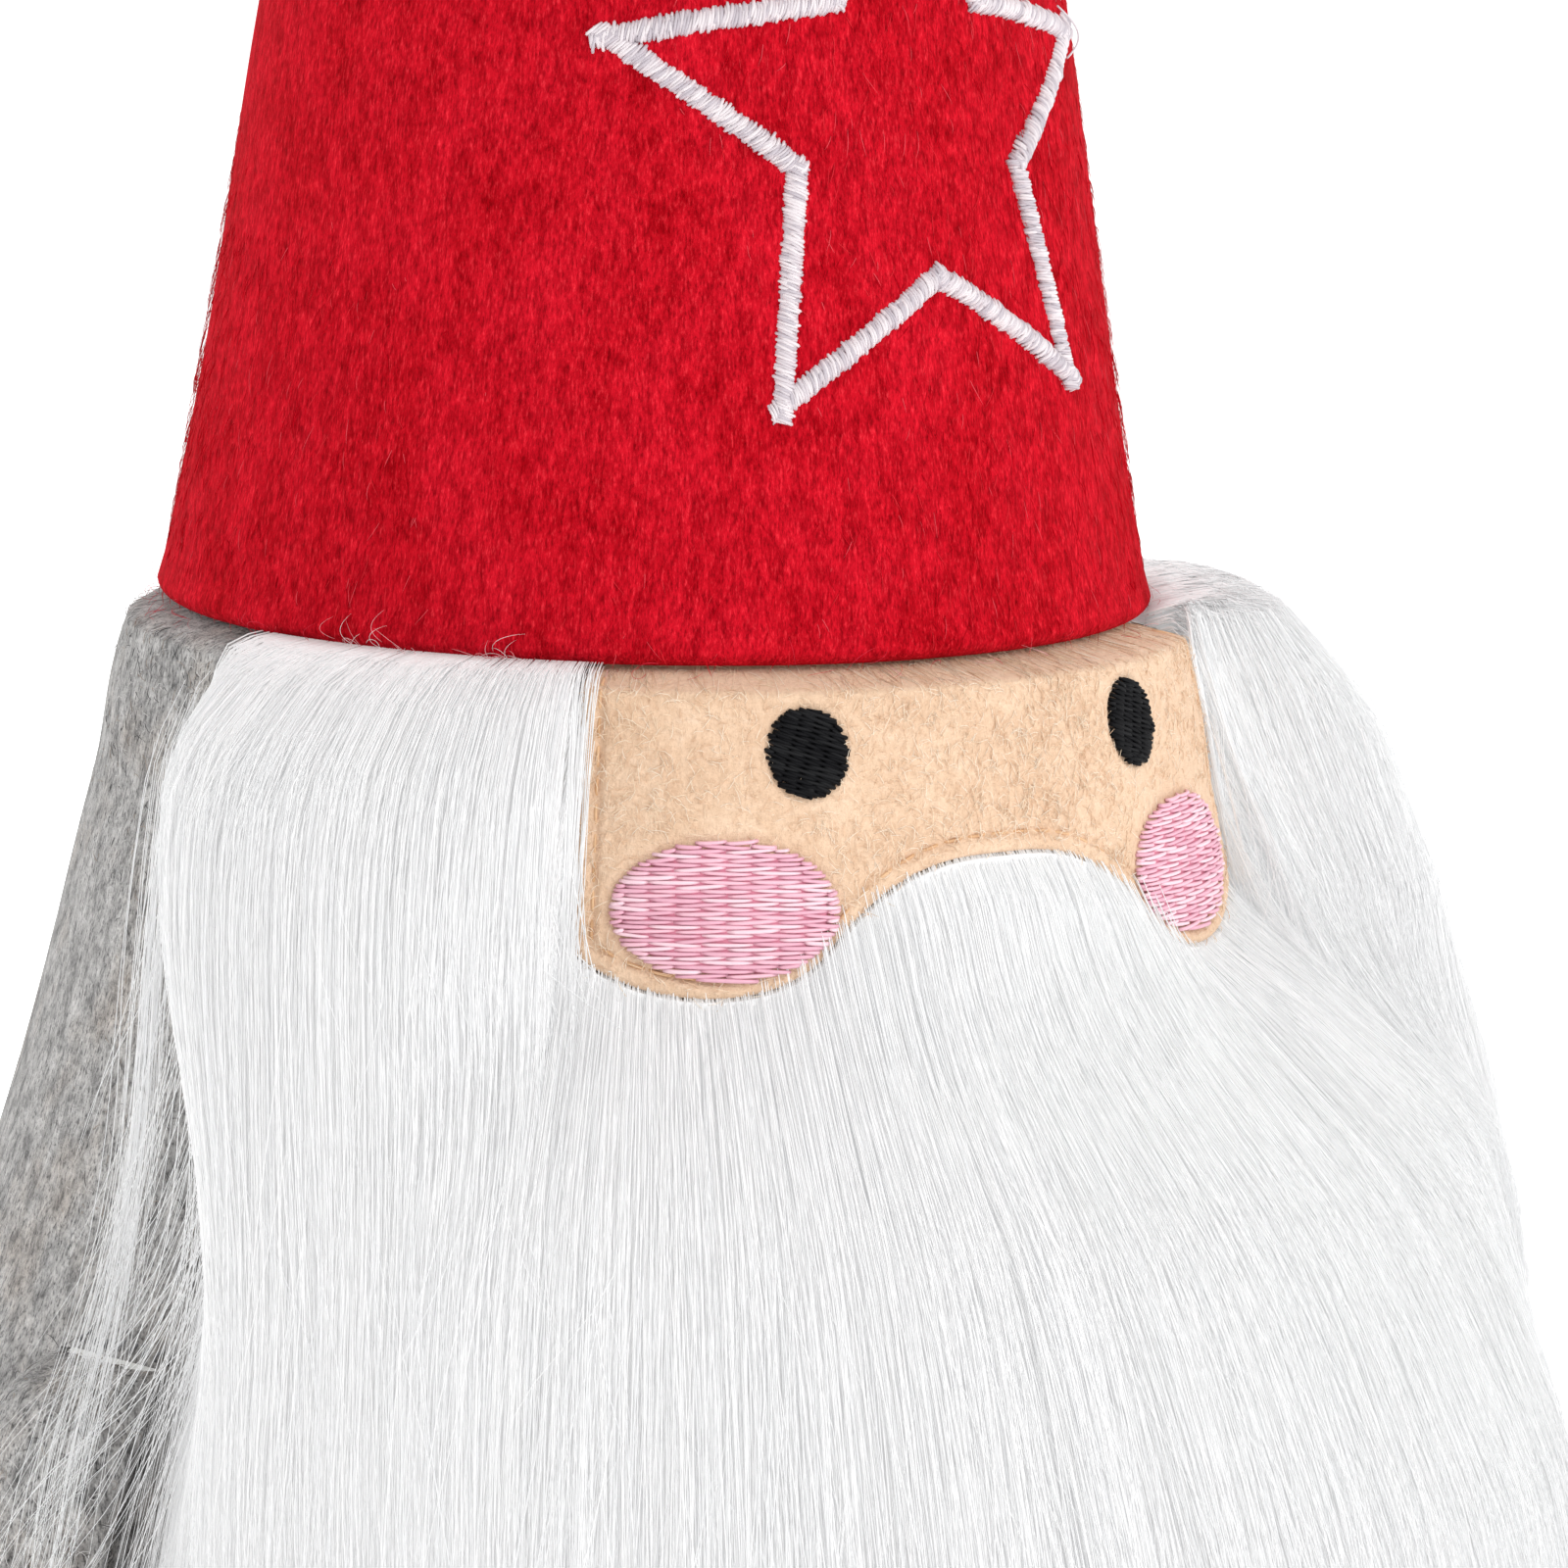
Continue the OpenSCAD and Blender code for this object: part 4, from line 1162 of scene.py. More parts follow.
def backing_sheet(materials):
    """The pile's cloth, cut out round the face and rounded at its lower corners."""
    half = BEARD_HALF_TOP - 5 * DEG
    cols = np.concatenate([np.linspace(-half, -FACE_SIDE - 0.002, 50),
                           np.linspace(-FACE_SIDE + 0.002, FACE_SIDE - 0.002, 90),
                           np.linspace(FACE_SIDE + 0.002, half, 50)])
    start = np.where(np.abs(cols) < FACE_SIDE, lower_edge(cols) + 0.15 * MM, -TUCK)
    low = BACKING_DROP - 16 * MM * ease((np.abs(cols) - 58 * DEG) / (18 * DEG))
    drop = start[None, :] + (low - start)[None, :] * np.linspace(0, 1, 40)[:, None]
    az = column_az(np.broadcast_to(cols[None, :], drop.shape), drop)
    sheet = sheet_solid("beard_backing_cloth", on_face(az, drop, 1.0 * MM),
                        on_face(az, drop, 0.1 * MM))
    sheet.data.materials.append(materials["knit"])
    return sheet


def undercoat(materials):
    """The dense depth of the pile, a little under the outer locks. It slopes up from the side of
    the face on the object's right, and thins out at the rear edges and along the parting."""
    half = 77 * DEG
    first = FACE_SIDE + 1.5 * DEG
    cols = np.concatenate([np.linspace(-half, -first, 90),
                           np.linspace(-FACE_SIDE + 0.004, FACE_SIDE - 0.004, 200),
                           np.linspace(first, half, 90)])
    share = np.linspace(0, 1, 120)[:, None] ** 1.3
    start = (beard_start(cols) + 0.5 * MM)[None, :]
    end = (beard_end(cols) - 16 * MM)[None, :]
    drop = start + (end - start) * share
    az = column_az(np.broadcast_to(cols[None, :], drop.shape), drop)
    z = BRIM_Z - drop
    near_side = 1 - ease((np.abs(cols) - 66 * DEG) / (12 * DEG))[None, :] ** 2
    full = coat_thickness(az, z) * 0.86 * near_side * (1 - np.exp((start - drop) / (7 * MM)))
    full = full * (1 - ease((share - 0.85) / 0.15) * 0.7)
    beside = (az < -FACE_SIDE) * (1 - ease((drop - 24 * MM) / (14 * MM)))
    full = full * (1 - 0.9 * beside * (1 - ease((np.abs(az) - FACE_SIDE) / (9 * DEG))))
    gap = np.exp(-((az - PARTING_AZ) / (1.5 * PARTING_HALF)) ** 2)
    full = full * (1 - 0.95 * (gap * ease((drop - PARTING_FROM) / (8 * MM))))
    flat = unrolled(az, z)
    ridge = value_noise(flat, 4.5 * MM, 61, (1, 1, 16)) * 0.3
    ridge = ridge + value_noise(flat, 1.0 * MM, 62, (1, 1, 20)) * 0.1
    lift = 1.35 * MM + np.maximum(full + ridge * MM * np.minimum(full / (5 * MM), 1), 0.15 * MM)
    outer = polar(az, body_r(z) + lift, z)
    inner = polar(az, body_r(z) + 1.05 * MM, z)
    coat = sheet_solid("beard_undercoat", outer, inner)
    coat.data.materials.append(materials["undercoat"])
    return coat


def beside_face(az, column, drop, jitter):
    """Strands that start beside the face stay off it, but for the little that they overlap the
    edge of its felt: most on the object's right, under the brim."""
    overlap = np.where(column < 0, 1.9 - 1.2 * np.minimum(drop / (28 * MM), 1), 0.3) * DEG
    clear = FACE_SIDE + jitter - overlap
    beside = (np.abs(column) > FACE_SIDE) & (drop < lower_edge(FACE_SIDE * 0.97) + 1 * MM)
    return np.where(beside, np.sign(column) * np.maximum(np.sign(column) * az, clear), az)


def parted(az, drop):
    """The strands' azimuths once they are combed apart at the parting."""
    off = az - PARTING_AZ
    share = ease((drop - PARTING_FROM) / (14 * MM))
    share = share * (1 - 0.6 * ease((drop - PARTING_TO) / (14 * MM)))
    way = np.where(off < 0, -1, 1) * PARTING_HALF
    return az + way * share * np.exp(-(off / (2.5 * PARTING_HALF)) ** 2)


def lock_paths(columns, roots, ends, layer, per_lock, points, rng, spread=2.6 * MM, tight=0.5):
    """Paths of strands grouped in locks. Each lock has a column, a root and an end drop and a
    layer from 0, next to the cloth, to 1, on the outside."""
    lock = (len(columns), 1, 1)
    strand = (len(columns), per_lock, 1)
    s = (np.linspace(0, 1, points) ** 2)[None, None, :]
    column = columns[:, None, None]
    start = beard_start(columns)[:, None, None]
    at_side = np.abs(column) > FACE_SIDE
    root = np.maximum(roots[:, None, None] + rng.normal(0, 1.8 * MM, strand), start)
    end = ends[:, None, None] + rng.normal(0, 8 * MM, strand)
    drop = root + np.maximum(end - root, 12 * MM) * s
    across = rng.normal(0, spread, strand) * (1 - tight * s ** 0.8)
    phase = rng.uniform(0, 2 * math.pi, lock)
    sway = rng.normal(0, 0.8 * MM, lock) * np.sin(s * rng.uniform(2, 5, lock) + phase) * s ** 0.5
    fine = rng.normal(0, 0.3 * MM, strand)
    fine = fine * np.sin(s * rng.uniform(5, 12, strand) + rng.normal(0, 2, strand)) * s ** 0.5
    lean = (rng.normal(0, 1.8 * MM, lock) + rng.normal(0, 1.2 * MM, strand)) * s ** 1.5
    out = drop - root
    stand = np.exp(-out / (12 * MM)) * (1 - np.exp(-out / (4 * MM)))
    stand = stand * ease((10 * MM - root) / (8 * MM))
    z = BRIM_Z - drop + np.where(column > FACE_SIDE, 9.5 * MM, 2.5 * MM) * at_side * stand
    radius0 = body_r(np.minimum(z, BRIM_Z - 2 * MM))
    az = column_az(column, drop) + (across + sway + fine + lean) / (radius0 + 8 * MM)
    az = parted(beside_face(az, column, drop, rng.normal(0, 0.6 * DEG, strand)), drop)
    depth = np.clip(layer[:, None, None] + rng.normal(0, 0.014, strand), 0.05, 1.05)
    grow = 1 - np.exp(-out / np.where(column > FACE_SIDE, 5 * MM, 3 * MM))
    wave = rng.normal(0, 0.5 * MM, lock) * np.sin(s * 5 + phase) * s
    thick = np.maximum(coat_thickness(az, z) * depth + wave, 0.3 * MM)
    under_hem = 4 * MM * np.exp(-out / (1 * MM)) * (root < 3 * MM) * at_side
    radius = radius0 + 0.9 * MM - under_hem + grow * (thick + 0.7 * MM)
    path = polar(az, radius, z).reshape(-1, points, 3)
    middle = np.broadcast_to(column_az(column, drop)[..., points // 2], strand[:2])
    return path, outward(middle).reshape(-1, 3)


def hair_radii(count, points, thick, rng):
    """Each hair's radius along it: full in the middle and fine at its tip."""
    s = np.linspace(0, 1, points)
    shape = np.interp(s, [0, 0.1, 0.7, 1], [0.8, 1, 0.85, 0.3])
    return thick * shape[None, :] * rng.uniform(0.7, 1.25, (count, 1))


def build_beard(materials):
    """The locks of the pile, which grow all over the backing."""
    rng = np.random.default_rng(71)
    locks = 1150
    per_lock = 22
    points = 11
    columns = rng.uniform(-1, 1, locks) * (BEARD_HALF_TOP - 1 * DEG)
    loose = np.abs(columns) > BEARD_HALF_TOP - 7 * DEG
    columns = columns + np.where(loose, rng.normal(0, 2.0, locks), 0) * DEG
    start = beard_start(columns)
    depth = rng.random(locks) ** 1.5
    roots = start + (BACKING_DROP - start) * depth
    ends = beard_end(columns) * rng.uniform(0.88, 1.03, locks)
    layer = 1.0 - 0.08 * depth + rng.normal(0, 0.02, locks)
    path, facing = lock_paths(columns, roots, ends, layer, per_lock, points, rng)
    radii = hair_radii(len(path), points, 0.052 * MM, rng)
    tint = np.repeat(rng.choice(4, locks, p=FUR_MIX), per_lock)
    mixed = rng.random(len(path)) < 0.5
    tint = np.where(mixed, rng.choice(4, len(path), p=FUR_MIX), tint)
    return strand_pieces("beard_locks", path, radii, facing, tint, materials["fur"])


def build_beard_edge(materials):
    """A dense first row of strands along the brim and round the face felt."""
    rng = np.random.default_rng(72)
    locks = 560
    per_lock = 12
    points = 12
    columns = np.linspace(-1, 1, locks) * (BEARD_HALF_TOP - 0.5 * DEG)
    beside = rng.random(locks) < 0.28
    side = np.where(rng.random(locks) < 0.5, -1, 1)
    side = side * (FACE_SIDE + rng.uniform(0.8, 3.4, locks) * DEG)
    columns = np.where(beside, side, columns)
    along = np.where(beside, rng.uniform(0, 26, locks), rng.uniform(0, 1.2, locks)) * MM
    roots = beard_start(columns) + along
    ends = np.minimum(roots + rng.uniform(50, 100, locks) * MM, beard_end(columns))
    layer = np.where(beside, rng.uniform(0.15, 1.0, locks), rng.uniform(0.6, 1.03, locks))
    path, facing = lock_paths(columns, roots, ends, layer, per_lock, points, rng, 1.2 * MM, 0.3)
    radii = hair_radii(len(path), points, 0.050 * MM, rng)
    tint = rng.choice(4, len(path), p=FUR_MIX)
    return strand_pieces("beard_edge", path, radii, facing, tint, materials["fur"])


def build_beard_loose(materials):
    """Single hairs that wander over the outside of the beard."""
    rng = np.random.default_rng(73)
    count = 900
    points = 14
    hair = (count, 1)
    s = np.linspace(0, 1, points)[None, :]
    column = rng.uniform(-1, 1, hair) * (BEARD_HALF_TOP - 4 * DEG)
    root = beard_start(column) + rng.uniform(0, 40, hair) * MM
    drop = root + rng.uniform(35, 80, hair) * MM * s
    drop = np.minimum(drop, beard_end(column) + 2 * MM)
    drop = drop + np.arange(points)[None, :] * 0.02 * MM     # no two points fall together
    z = BRIM_Z - drop
    stray = rng.normal(0, 5, hair) * s ** 1.4
    curl = rng.normal(0, 0.9, hair)
    curl = curl * np.sin(s * rng.uniform(3, 9, hair) + rng.uniform(0, 6, hair))
    az = column_az(column, drop) + (stray + curl) * MM / (80 * MM)
    grow = 1 - np.exp((root - drop) / (3 * MM))
    lift = coat_thickness(az, z) * 1.03 + rng.uniform(0.1, 1.1, hair) * MM * np.sin(s * 3)
    path = polar(az, body_r(z) + 1 * MM + grow * lift, z)
    radii = hair_radii(count, points, 0.05 * MM, rng)
    return tube_mesh("beard_loose_hairs", path, radii, outward(column[:, 0]), 3,
                     rng.choice(4, count), materials["fur"])


# The loose lock at each side: mm below the brim, degrees of azimuth, and mm off the body.
LOCK_DROP = [4, 12, 35, 55, 70, 85, 104]
LOCK_AZ = [84.5, 86, 84, 81, 77.6, 74.8, 75.5]
LOCK_OFF = [3.5, 6, 5.5, 5, 9.5, 15, 17]


def stray_azimuth(drop, t, lock, rng):
    """Azimuths in degrees, for the object's left: the loose lock's hairs follow its line, and the
    single hairs sweep away from the beard's side edge."""
    hair = (len(drop), 1)
    line = np.interp(drop, LOCK_DROP, LOCK_AZ)
    line = line + rng.normal(0, 1.2, hair) * (1 - 0.3 * t) + rng.normal(0, 1.0, hair) * t
    edge = beard_half(drop * MM) / DEG - rng.uniform(0, 6, hair)
    way = np.where(rng.random(hair) < 0.75, 1, -0.5)
    sweep = edge + way * rng.uniform(2, 15, hair) * t
    curl = rng.normal(0, 0.7, hair)
    curl = curl * np.sin(t * rng.uniform(3, 9, hair) + rng.uniform(0, 6, hair))
    return np.where(lock, line, sweep) + curl


def stray_height(drop, azimuth, t, lock, rng):
    """Heights in mm over the body, smoothed along each hair and clear of the arm."""
    hair = (len(drop), 1)
    off = np.interp(drop, LOCK_DROP, LOCK_OFF) + rng.normal(0, 0.8, hair)
    off = np.where(lock, off, 2.5 + 5.5 * np.sin(t * 1.7) + rng.normal(0, 1.2, hair))
    over_arm = ease((azimuth / DEG - 73) / 4) * (arm_front(drop * MM) / MM + 1.2)
    off = np.maximum(np.maximum(off, over_arm), 1.2)
    for _ in range(3):
        inner = (off[:, :-2] + 2 * off[:, 1:-1] + off[:, 2:]) / 4
        off = np.concatenate([off[:, :1], inner, off[:, -1:]], 1)
    return off


def stray_hairs(name, sign, materials, seed):
    """One thin loose lock and many single hairs that hang in front of the arm at one side, in
    two pieces: those that stay clear of the arm, and those that lie over it."""
    rng = np.random.default_rng(seed)
    in_lock = 72
    count = in_lock + 120
    points = 16
    hair = (count, 1)
    t = np.linspace(0, 1, points)[None, :]
    lock = (np.arange(count) < in_lock)[:, None]
    root = np.where(lock, rng.uniform(4, 12, hair), rng.uniform(4, 62, hair))
    length = np.where(lock, rng.uniform(62, 96, hair), rng.uniform(30, 60, hair))
    drop = np.minimum(root + length * t, 118 + 0.02 * np.arange(points)[None, :])
    z = BRIM_Z - drop * MM
    azimuth = stray_azimuth(drop, t, lock, rng) * DEG
    off = stray_height(drop, azimuth, t, lock, rng)
    path = polar(sign * azimuth, body_r(z) + off * MM, z)
    facing = outward(sign * azimuth[:, points // 2])
    radii = hair_radii(count, points, 0.048 * MM, rng)
    tint = rng.choice(4, count)
    beside_arm = np.where(z < SHOULDER_Z + 12 * MM, azimuth, 0)
    over = np.max(beside_arm, 1) > 69 * DEG
    return [tube_mesh(f"{name}_{part}", path[mask], radii[mask], facing[mask], 3, tint[mask],
                      materials["fur"])
            for part, mask in (("free", ~over), ("over_arm", over))]


def bend_with_arm(hairs, sign):
    """Bakes the transform of the hairs that lie over the arm into their mesh."""
    hinge = polar(sign * ARM_AZ, float(body_r(SHOULDER_Z)), SHOULDER_Z)
    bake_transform(hairs)


def brim_wisps(materials):
    """Curled fibres of fleece and pile caught along the seam under the brim."""
    rng = np.random.default_rng(77)
    count = 150
    tuft = 25                # fibres in each of the two paler tufts
    points = 14
    fibre = (count, 1)
    s = np.linspace(0, 1, points)[None, :]
    start = np.concatenate([rng.normal(-66, 2.5, tuft), rng.normal(-54, 2.0, tuft),
                            rng.uniform(-150, 150, count - 2 * tuft)])[:, None]
    in_tuft = np.arange(count) < 2 * tuft
    size = rng.uniform(1.2, 3.4, fibre) * MM * np.where(in_tuft, 1.1, 1)[:, None]
    turn = rng.uniform(0, 2 * math.pi, fibre) + rng.normal(0, 2.4, fibre) * s
    side = np.cumsum(np.cos(turn), 1) / points * size * 1.6
    rise = np.cumsum(np.sin(turn), 1) / points * size * 1.2
    z = BRIM_Z - 0.3 * MM + rng.normal(0, 0.5, fibre) * MM + rise
    out = rng.uniform(0.4, 2.2, fibre) * MM * np.sin(s * 2.9)
    radius = hat_r(BRIM_Z) + 0.1 * MM + out
    path = polar(start * DEG + side / radius, radius, z)
    radii = hair_radii(count, points, 0.025 * MM, rng)
    tint = np.where(in_tuft, rng.choice(2, count), rng.choice([1, 2, 2], count))
    return tube_mesh("brim_wisps", path, radii, outward(start[:, 0] * DEG), 3, tint,
                     materials["wisp"])


# ---------------------------------------------------------------- arms
ARM_AZ = 82 * DEG
SHOULDER_Z = frame["joints"][0]["pos_m"][2]
ARM_LOW_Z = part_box("arm_left_outer_panel")[0].z
ARM_HIGH_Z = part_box("arm_left_outer_panel")[1].z
ARM_PANELS = [node_tree_of("arm_left_outer_panel"), node_tree_of("arm_left_inner_panel")]
SLACK = 0.8 * MM         # how much smaller the pad is before its stuffing swells it
ARM_SWELL = 1.5 * MM     # the furthest that a point may move in the simulation


def nearest_hit(trees, start, direction, reach):
    """Distance to the first surface met, or None."""
    found = [tree.ray_cast(start, direction, reach)[3] for tree in trees]
    found = [distance for distance in found if distance is not None]
    return min(found) if found else None


def arm_section(z, out, across, angles):
    """At one height, how far out the arm's middle is, and its radius about it at each angle."""
    far = 150 * MM
    reach = 30 * MM
    near = float(body_r(z)) - 10 * MM
    level = Vector((0, 0, z))
    outside = far - (nearest_hit(ARM_PANELS, level + out * far, -out, far) or 0)
    inside = near + (nearest_hit(ARM_PANELS, level + out * near, out, far) or 0)
    middle = (outside + inside) / 2
    ring = []
    for angle in angles:
        way = across * math.cos(angle) + out * math.sin(angle)
        hit = nearest_hit(ARM_PANELS, level + out * middle + way * reach, -way, reach)
        ring.append(reach - (reach if hit is None else hit))
    return middle, ring


def read_arm(rows, cols):
    """The left arm's outside: heights, its middle line, and smoothed rings of radii about it."""
    out = Vector((math.sin(ARM_AZ), -math.cos(ARM_AZ), 0))
    across = Vector((math.cos(ARM_AZ), math.sin(ARM_AZ), 0))
    turn = (1 - np.cos(np.linspace(0, math.pi, rows))) / 2
    heights = ARM_LOW_Z + 0.15 * MM + turn * (ARM_HIGH_Z - ARM_LOW_Z - 0.3 * MM)
    angles = (np.arange(cols) + 0.5) / cols * 2 * math.pi
    middles, rings = zip(*[arm_section(z, out, across, angles) for z in heights])
    rings = np.array(rings)
    for _ in range(3):
        sides = (np.roll(rings, 1, 1) + np.roll(rings, -1, 1)) / 2
        rings = np.maximum(rings, 0.96 * sides)
    rings = (rings * 2 + np.roll(rings, 1, 1) + np.roll(rings, -1, 1)) / 4
    return heights, np.array(middles), rings, angles


ARM_Z, ARM_MIDDLE, ARM_RINGS, ARM_ANGLES = read_arm(84, 72)


def arm_front(drop):
    """How far the arm's outer side stands off the body, at a distance below the brim."""
    top = ARM_MIDDLE + ARM_RINGS[:, len(ARM_ANGLES) // 4]
    return np.maximum(np.interp(BRIM_Z - drop, ARM_Z, top - body_r(ARM_Z)), 0)


def arm_ring(z, angle):
    """The CAD arm's radius about its middle line, read between ARM_RINGS."""
    turns = len(ARM_ANGLES)
    i = np.clip(np.interp(z, ARM_Z, np.arange(len(ARM_Z))), 0, len(ARM_Z) - 1.001)
    j = (angle / (2 * math.pi) * turns - 0.5) % turns
    i0 = i.astype(int)
    j0 = np.floor(j).astype(int) % turns
    j1 = (j0 + 1) % turns
    u = i - i0
    v = j - np.floor(j)
    low = ARM_RINGS[i0, j0] * (1 - v) + ARM_RINGS[i0, j1] * v
    high = ARM_RINGS[i0 + 1, j0] * (1 - v) + ARM_RINGS[i0 + 1, j1] * v
    return low * (1 - u) + high * u


def arm_pad():
    """The stuffed arm in the middle of the figure's front: points and quads. Two panels sewn
    round the edge, swollen by cloth simulation, then drawn in and puckered at the seam."""
    inner = np.maximum(ARM_RINGS - SLACK * np.abs(np.sin(ARM_ANGLES)), 0.3 * MM)
    x = inner * np.cos(ARM_ANGLES)
    y = inner * np.sin(ARM_ANGLES) + ARM_MIDDLE[:, None]
    pad = revolved("arm_pad", np.stack([x, -y, ARM_Z[:, None] + 0 * x], -1))
    points, quads = swell(pad, 2 * MM, ARM_SWELL)
    middle = np.interp(points[:, 2], ARM_Z, ARM_MIDDLE)
    offset = np.stack([points[:, 0], points[:, 1] + middle, 0 * middle], -1)
    outer = -offset[:, 1]
    radius = np.linalg.norm(offset, axis=1)
    near_seam = np.exp(-(outer / (1.1 * MM)) ** 2)
    pucker = near_seam * (0.18 * np.sin(points[:, 2] / (0.55 * MM)) - 0.55)
    dents = value_noise(points, 11 * MM, 81) * 0.35 + value_noise(points, 5 * MM, 82) * 0.2
    dents = np.where(outer > -1.5 * MM, dents, np.minimum(dents, 0))
    calm = np.minimum(radius / (6 * MM), 1)
    ring = arm_ring(points[:, 2], np.arctan2(outer, points[:, 0]))
    wanted = np.clip(radius + (dents + pucker) * calm * MM, ring - 0.9 * MM, ring + 0.9 * MM)
    points = points + unit(offset) * (wanted - radius)[:, None]
    gap = -points[:, 1] - body_r(points[:, 2]) - 0.15 * MM
    points[:, 1] += np.where(outer < 0, np.minimum(gap, 0), 0)
    return points, quads


def turned_about_axis(x, y, z, turn):
    return np.stack([x * math.cos(turn) - y * math.sin(turn),
                     x * math.sin(turn) + y * math.cos(turn), z], -1)


def build_arm(name, sign, pad, materials):
    """The pad, turned from the front to one side."""
    points, quads = pad
    arm = mesh_from_faces(name, turned_about_axis(*points.T, sign * ARM_AZ), quads)
    arm.data.materials.append(materials["grey"])
    return arm


def fuzz_on_mesh(name, obj, count, length, seed, materials):
    """Loose felt fibres lying on a mesh, mostly along it."""
    rng = np.random.default_rng(seed)
    mesh = obj.data
    areas = np.array([p.area for p in mesh.polygons])
    pick = rng.choice(len(areas), count, p=areas / areas.sum())
    root = np.array([p.center for p in mesh.polygons])[pick]
    normal = np.array([p.normal for p in mesh.polygons])[pick]
    side = unit(np.cross(normal, np.array([0.01, 0.01, 1.0])))
    up = np.cross(side, normal)
    steps = np.linspace(0, 1, 5)[None, :]
    way = fibre_heading(rng, count) + rng.normal(0, 1.5, (count, 1)) * steps
    size = length * rng.uniform(0.5, 1.3, (count, 1)) / 5
    move = (np.cumsum(np.cos(way), 1) * size)[..., None] * side[:, None, :]
    move = move + (np.cumsum(np.sin(way), 1) * size)[..., None] * up[:, None, :]
    lift = (rng.uniform(0.1, 0.5, (count, 1)) * np.sin(steps * 2.7) - 0.08) * MM
    path = root[:, None, :] + move + lift[..., None] * normal[:, None, :]
    radii = np.repeat(np.array([[0.6, 1, 1, 0.8, 0.3]]) * 0.04 * MM, count, 0)
    tint = rng.choice(len(materials), count, p=FELT_MIX)
    return tube_mesh(name, path, radii, normal, 3, tint, materials)


def arm_stitches(name, sign, materials):
    """Short over-and-over stitches that hold the arm's upper edge to the body."""
    rng = np.random.default_rng(91)
    offsets = np.linspace(-6.5, 6.5, 8) * MM
    t = np.linspace(0, 1, 7)
    across = offsets[:, None] + t[None, :] * 0.9 * MM
    z = SHOULDER_Z + (0.6 + 1.3 * t)[None, :] * MM + 0 * across
    out = body_r(z) + (0.1 + 0.75 * np.sin(t * math.pi))[None, :] * MM
    turn = sign * ARM_AZ
    path = turned_about_axis(across, -out, z, turn)
    facing = np.repeat(np.array([[math.sin(turn), -math.cos(turn), 0.3]]), len(path), 0)
    return stitch_tubes(name, path, 0.16 * MM, facing, materials, rng)


# ---------------------------------------------------------------- seams
def back_seam(name, radius_of, low, high, length, materials):
    """Stitches along the back, from one height to another."""
    z = np.linspace(low, high, 200)
    azimuth = np.full(len(z), math.pi)
    path = polar(azimuth, radius_of(z) - 0.55 * MM, z)
    return running_stitches(name, path, outward(azimuth), length, 0.7 * MM, 0.18 * MM, 0.3 * MM,
                            materials)


def base_seam(materials):
    """Stitches round the edge of the base, underneath."""
    azimuth = np.linspace(-math.pi, math.pi, 700)
    path = polar(azimuth, BASE_R, 0.75 * MM)
    facing = np.repeat(np.array([[0.0, 0.0, -1.0]]), len(azimuth), 0)
    return running_stitches("base_stitching", path, facing, 3.2 * MM, 0.9 * MM, 0.18 * MM,
                            0.2 * MM, materials)


# ---------------------------------------------------------------- assembly
def all_materials():
    """Every material of the visual pieces, by a short key."""
    return {
        "fleece": fleece_material(),
        "grey": grey_felt_material(),
        "face": face_felt_material(),
        "knit": knit_material(),
        "undercoat": undercoat_material(),
        "white_thread": tints("star_thread", STAR_TINTS, 0.45, 0.1, 0.4),
        "black_thread": tints("eye_thread", EYE_TINTS, 0.6, 0.0, 0.12),
        "pink_thread": tints("cheek_thread", CHEEK_TINTS, 0.4, 0.2, 0.4),
        "face_thread": tints("face_thread", [(0.66, 0.40, 0.22), (0.74, 0.48, 0.28)], 0.5, 0.1),
        "grey_thread": tints("grey_thread", [(0.16, 0.16, 0.17), (0.22, 0.22, 0.23)], 0.5),
        "red_thread": tints("red_thread", [(0.34, 0.004, 0.012), (0.42, 0.006, 0.016)], 0.5),
        "red_fibres": tints("fleece_fibre", FLEECE_TINTS, 1.0, 0.0, 0.0),
        "grey_fibres": tints("felt_fibre", FELT_TINTS, 0.8, 0.2, 0.2),
        "face_fibres": tints("face_fibre", FACE_TINTS, 0.8, 0.2, 0.2),
        "fur": fur_tints(),
        "wisp": tints("wisp_fibre", WISP_TINTS, 0.6, 0.2),
        # the cheeks' ground: a darker pink that is painted shade in the needle holes
        "hole": plain_material("cheek_ground", (0.66, 0.24, 0.33), 0.8),
        "eye_ground": plain_material("eye_ground", (0.006, 0.006, 0.007), 0.8),
    }


def place(pieces, body, slot, *nodes):
    """Rides pieces on a body and hides the CAD nodes given. The slot is not used."""
    pieces = pieces if isinstance(pieces, list) else [pieces]
    for piece in pieces:
        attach(piece, body)
    if nodes:
        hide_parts(*nodes)
    return pieces


def dress_hidden_nodes():
    """Materials for the CAD nodes inside the object, which keep their CAD shape."""
    cloth = {
        "base_board": hidden_material("board_brown", (0.42, 0.31, 0.18), 1.2 * MM, 0.8, 0.8),
        "ballast_bag": hidden_material("bag_cloth", (0.68, 0.66, 0.6), 0.6 * MM),
        "ballast_fill": hidden_material("pellets", (0.6, 0.57, 0.48), 3 * MM, 0.5, 0.5),
        "star_stabiliser": hidden_material("stabiliser_white", (0.92, 0.92, 0.9), 0.8 * MM),
        "hat_brim_thread": hidden_material("brim_thread", (0.38, 0.005, 0.015), 0.4 * MM, 0.7, 0.5),
    }
    stuffing = hidden_material("stuffing_white", (0.88, 0.88, 0.85), 5 * MM, 0.85)
    for node in ("body_stuffing", "hat_stuffing", "arm_left_stuffing", "arm_right_stuffing"):
        cloth[node] = stuffing
    for node, material in cloth.items():
        mesh = frame["nodes"][node].data
        mesh.materials.clear()
        mesh.materials.append(material)


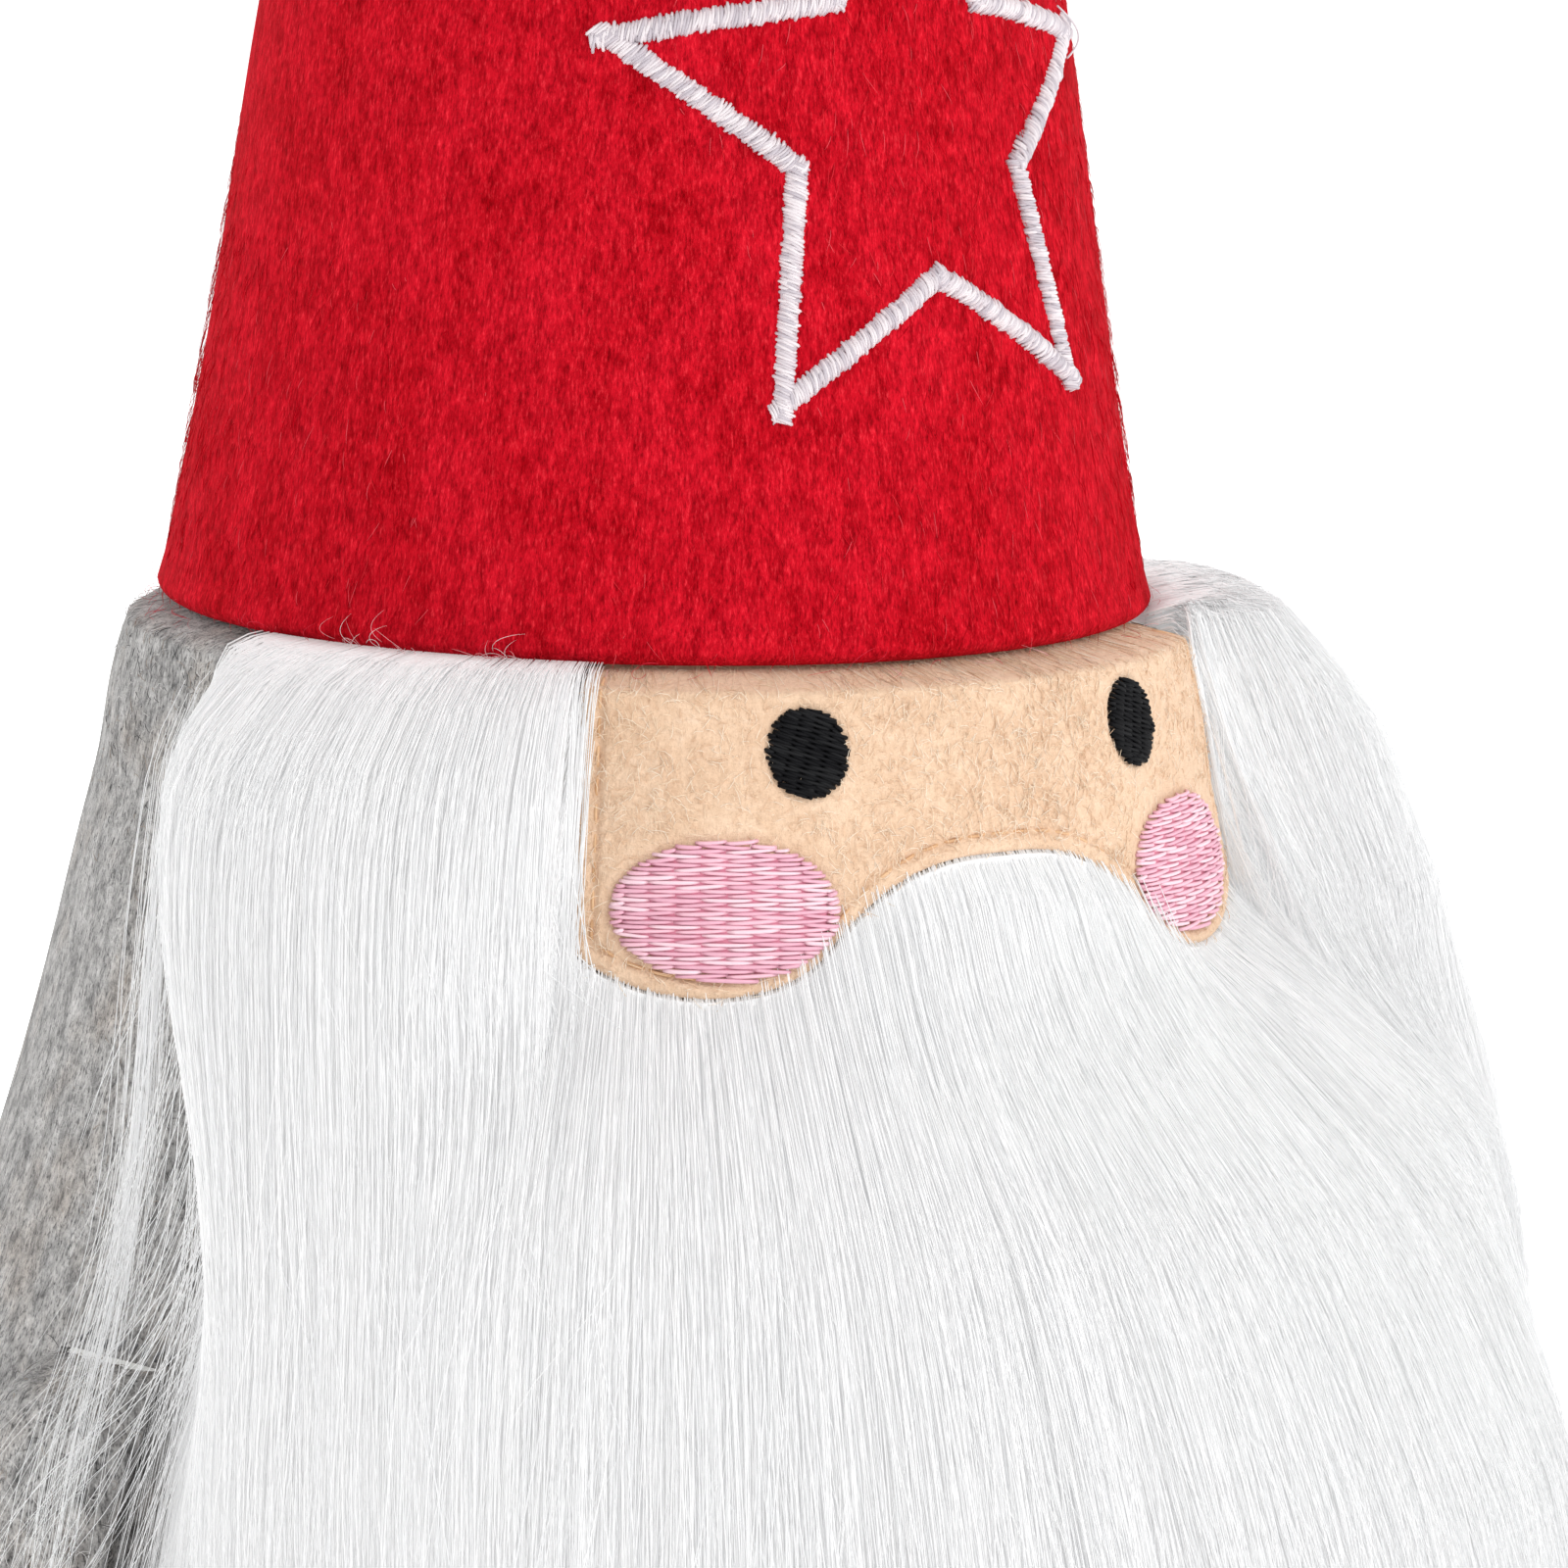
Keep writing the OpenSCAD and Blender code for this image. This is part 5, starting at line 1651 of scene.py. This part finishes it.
def build_arms(materials):
    """Both arms, with loose fibres and the stitches that hold them."""
    pad = arm_pad()
    for side, sign in (("left", 1), ("right", -1)):
        body = f"arm_{side}"
        arm = build_arm(f"arm_{side}_felt", sign, pad, materials)
        place(arm, body, "grey_felt", f"arm_{side}_outer_panel", f"arm_{side}_inner_panel")
        place(fuzz_on_mesh(f"arm_{side}_fuzz", arm, 2600, 2.4 * MM, 83, materials["grey_fibres"]),
              body, "grey_felt")
        place(arm_stitches(f"arm_{side}_stitching", sign, materials["grey_thread"]), "body",
              "grey_thread", f"arm_{side}_thread")


def build_embroidery(materials):
    """Eyes and cheeks, each over a ground in a colour of its own: black under the eyes, and under the
    cheeks a darker pink that is painted shade in the needle holes.
    """
    for side, sign, seed in (("left", 1, 101), ("right", -1, 102)):
        eye = filled_oval(f"eye_{side}_stitches", sign * EYE_AZ, EYE_DROP, EYE_W, EYE_H, 0.25, 3.4,
                          0.19 * MM, 20 * DEG, 0.35, True, seed, materials["black_thread"])
        place(eye, "body", "black_thread", f"eye_{side}")
        place(oval_bed(f"eye_{side}_ground", sign * EYE_AZ, EYE_DROP, EYE_W - 0.8 * MM,
                       EYE_H - 0.8 * MM, materials["eye_ground"]), "body", "black_thread")
        cheek = filled_oval(f"cheek_{side}_stitches", sign * CHEEK_AZ, CHEEK_DROP, CHEEK_W, CHEEK_H,
                            0.42, 4.9, 0.2 * MM, 0, 0.15, False, seed + 10, materials["pink_thread"])
        place(cheek, "body", "pink_thread", f"cheek_{side}")
        place(oval_bed(f"cheek_{side}_ground", sign * CHEEK_AZ, CHEEK_DROP, CHEEK_W - 0.5 * MM,
                       CHEEK_H - 0.5 * MM, materials["hole"]), "body", "pink_thread")


def build_all():
    """Every visual piece, placed on its body, but for the hairs that lie over the arms, which are not
    placed.
    """
    materials = all_materials()
    hat = build_hat(materials)
    place(hat, "body", "red_fleece", "hat_cover")
    place(strand_pieces("hat_nap", *nap(26000, 51), materials["red_fibres"]), "body", "red_fleece")
    place(build_star(materials), "body", "white_thread", "star_outline")
    place(build_star_bed(materials), "body", "white_thread")
    place(star_loose_end(materials), "body", "white_thread")
    body = build_body(materials)
    place(body, "body", "grey_felt", "body_cover")
    place(build_body_fuzz(materials), "body", "grey_felt")
    place(build_base(materials), "body", "grey_felt", "base_panel")
    place(base_seam(materials["grey_thread"]), "body", "grey_thread", "base_seam_thread")
    place(back_seam("body_back_stitching", body_r, 6 * MM, BRIM_Z - 4 * MM, 3 * MM,
                    materials["grey_thread"]), "body", "grey_thread", "body_back_thread")
    place(back_seam("hat_back_stitching", hat_r, BRIM_Z + 4 * MM, HAT_TOP_Z - 30 * MM, 3 * MM,
                    materials["red_thread"]), "body", "red_thread", "hat_back_thread")
    face = build_face(materials)
    place(face, "body", "face_felt", "face_patch")
    place(build_face_fuzz(materials), "body", "face_felt")
    place(build_topstitch(materials), "body", "face_thread", "face_topstitch")
    build_embroidery(materials)
    backing = backing_sheet(materials)
    place(backing, "body", "beard_backing", "beard_backing")
    place(undercoat(materials), "body", "beard_fur", "beard_pile")
    place(build_beard(materials), "body", "beard_fur")
    place(build_beard_edge(materials), "body", "beard_fur")
    place(build_beard_loose(materials), "body", "beard_fur")
    place(brim_wisps(materials), "body", "beard_fur")
    build_arms(materials)
    for side, sign in (("left", 1), ("right", -1)):
        free, over_arm = stray_hairs(f"beard_strays_{side}", sign, materials, 75)
        place(free, "body", "beard_fur")
        bend_with_arm(over_arm, sign)
    dress_hidden_nodes()


make_camera()
make_floor()
make_studio()
build_all()

bpy.context.view_layer.update()
